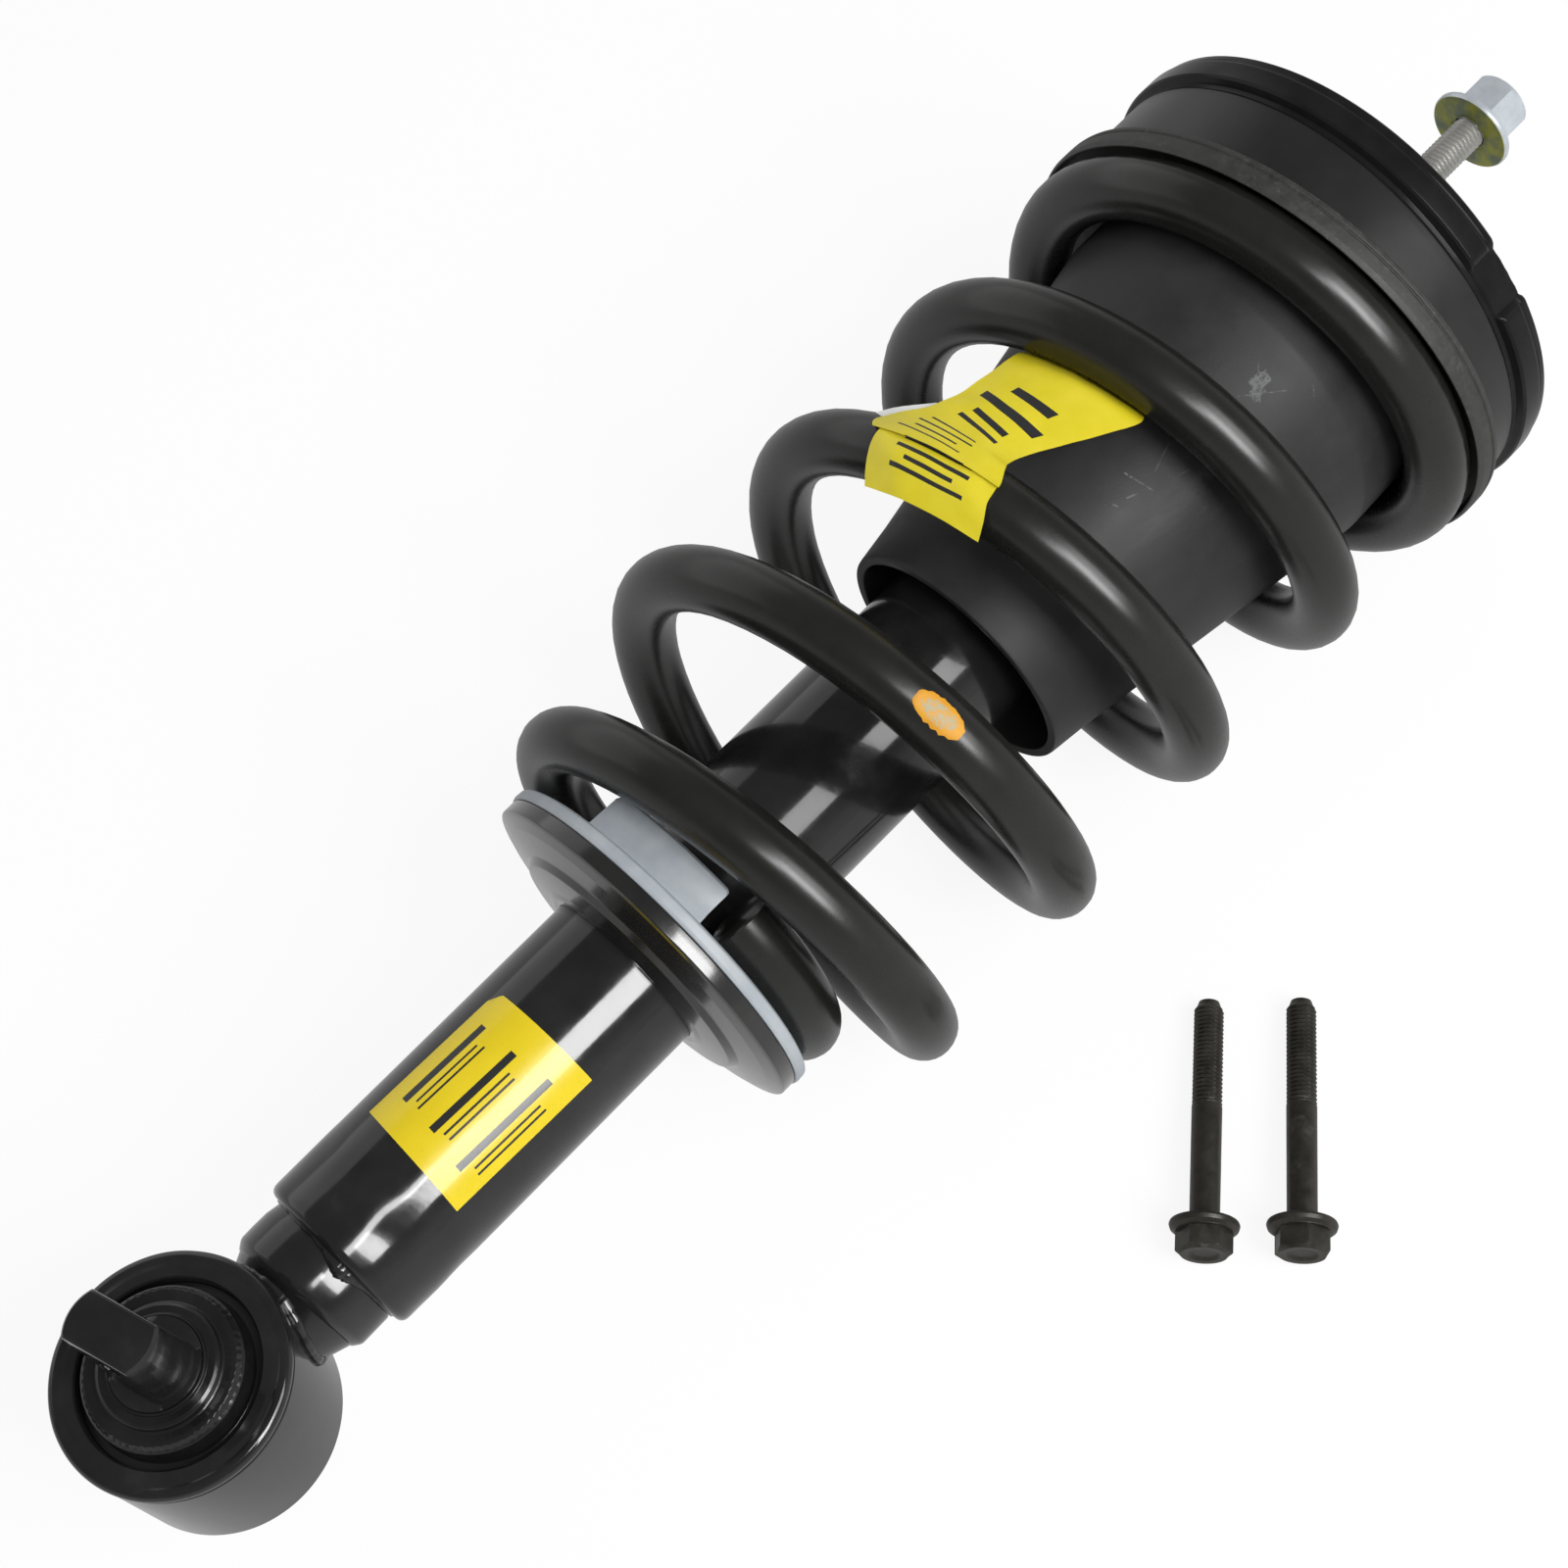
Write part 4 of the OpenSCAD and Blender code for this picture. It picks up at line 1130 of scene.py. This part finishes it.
ROD_R = 8.0
SPIGOT_R = 5.0
SHOULDER_X = 486.0
STUD_X = 611.0
STUD_R = 6.0


def make_rod():
    """Chromed rod with a spigot for the piston, and the threaded stud above its shoulder."""
    low = along_strut(Vector(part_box("piston_rod")[0]))
    face = along_strut(Vector(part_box("piston")[1]))
    corners = [(low, 0, 0), (low, SPIGOT_R, 0.5), (face, SPIGOT_R, 0), (face, ROD_R, 0.4),
               (SHOULDER_X, ROD_R, 0.5), (SHOULDER_X, 0, 0)]
    turned("chromed_rod", corners, CHROME_ROD, "upper", segments=96, stands_for=("piston_rod",))
    rings = threaded_rings(SHOULDER_X - 0.5, STUD_X, STUD_R, 1.75, on_strut, segments=48, rows=8)
    make_piece("stud_thread", skin("stud_thread", rings), STUD_STEEL, "upper", 50, ("piston_rod",))


BOLT_SPOTS = ((255.8, -170.9, 39.4), (276.4, -193.8, 39.8))
BOLT_R = 5.0
BOLT_L = 78.0
BOLT_FLANGE_R = 11.4
BOLT_HEAD = 11.0
BOLT_FLATS = 16.0


def make_bolt(index, spot):
    """A flange bolt on the floor: it lies on its flange and on the end of its shank."""
    x, y, heading = spot
    tilt = math.asin((BOLT_FLANGE_R - BOLT_R) / BOLT_L)
    c, s = cos_sin(heading)
    way = Vector((c * math.cos(tilt), s * math.cos(tilt), -math.sin(tilt)))
    side = Vector((0, 0, 1)).cross(way).normalized()
    up = way.cross(side)
    foot = Vector((EYE.x + x * MM, EYE.y + y * MM, BOLT_FLANGE_R * math.cos(tilt) * MM))

    def place(along, r, a):
        c, s = cos_sin(a)
        return foot + MM * (along * way + r * (c * side + s * up))

    def headed(along, r, a):
        """A point of the head, which is a hexagon behind its flange."""
        return place(along, min(r, hex_radius(BOLT_FLATS, a + 20 * index)) if along < -3.4 else r, a)

    corners = [(-BOLT_HEAD + 0.9, 0, 0), (-BOLT_HEAD + 0.9, 4.4, 0.3), (-BOLT_HEAD + 0.1, 5.2, 0.3),
               (-BOLT_HEAD, 7.4, 0.3), (-BOLT_HEAD + 1.2, 9.24, 0.5), (-4.4, 9.24, 0.5), (-3.2, 9.6, 0.8),
               (-2.2, BOLT_FLANGE_R - 0.4, 0.5), (-0.9, BOLT_FLANGE_R, 0.4), (0, BOLT_FLANGE_R - 0.3, 0.4),
               (0, BOLT_R + 0.2, 0.5), (1.0, BOLT_R - 0.1, 0.4)]
    angles = [3.75 * k for k in range(96)]
    rings = [[headed(along, r, a) for a in angles] for along, r in soften(corners)]
    rings += threaded_rings(BOLT_L - 38, BOLT_L - 2.0, BOLT_R, 1.5, place, segments=96)
    rings.append([place(BOLT_L, BOLT_R - 1.6, a) for a in angles])
    name = f"fixing_bolt_{index + 1}"
    make_piece(name, skin(name, rings), PHOSPHATE, "lower", 28, ("pin_bolts",))


def make_bolts():
    for index, spot in enumerate(BOLT_SPOTS):
        make_bolt(index, spot)


# ---- build

def set_view():
    bpy.context.scene.view_settings.view_transform = "Standard"


def paint_nodes():
    """Finishes for the solids that stay as they are."""
    for material, nodes in ((MACHINED_STEEL, ("pressure_tube", "piston_nut", "mount_sleeve",
                                              "mount_washers")),
                            (SINTERED, ("base_valve", "rod_guide", "piston")),
                            (MOULDED_RUBBER, ("oil_seal", "rebound_stop", "mount_bush")),
                            (PTFE, ("piston_band",)), (FOAM, ("bump_stop",)),
                            (GLOSS_BLACK, ("mount_cover",)), (ZINC, ("rod_nut",))):
        for node in nodes:
            for slot in NODES[node].material_slots:
                slot.material = material


for step in (set_view, make_camera, make_floor, make_world, make_lights, paint_nodes, make_damper_tube,
             make_neck, make_neck_welds, make_eye_can, make_eye_bush, make_bar_pin, make_seat_dish,
             make_pad, make_pad_step, make_spring, make_paint_dab, make_tag, make_tube_label, make_boot,
             make_insulator, make_mount_cup, make_nut, make_rod, make_bolts):
    step()
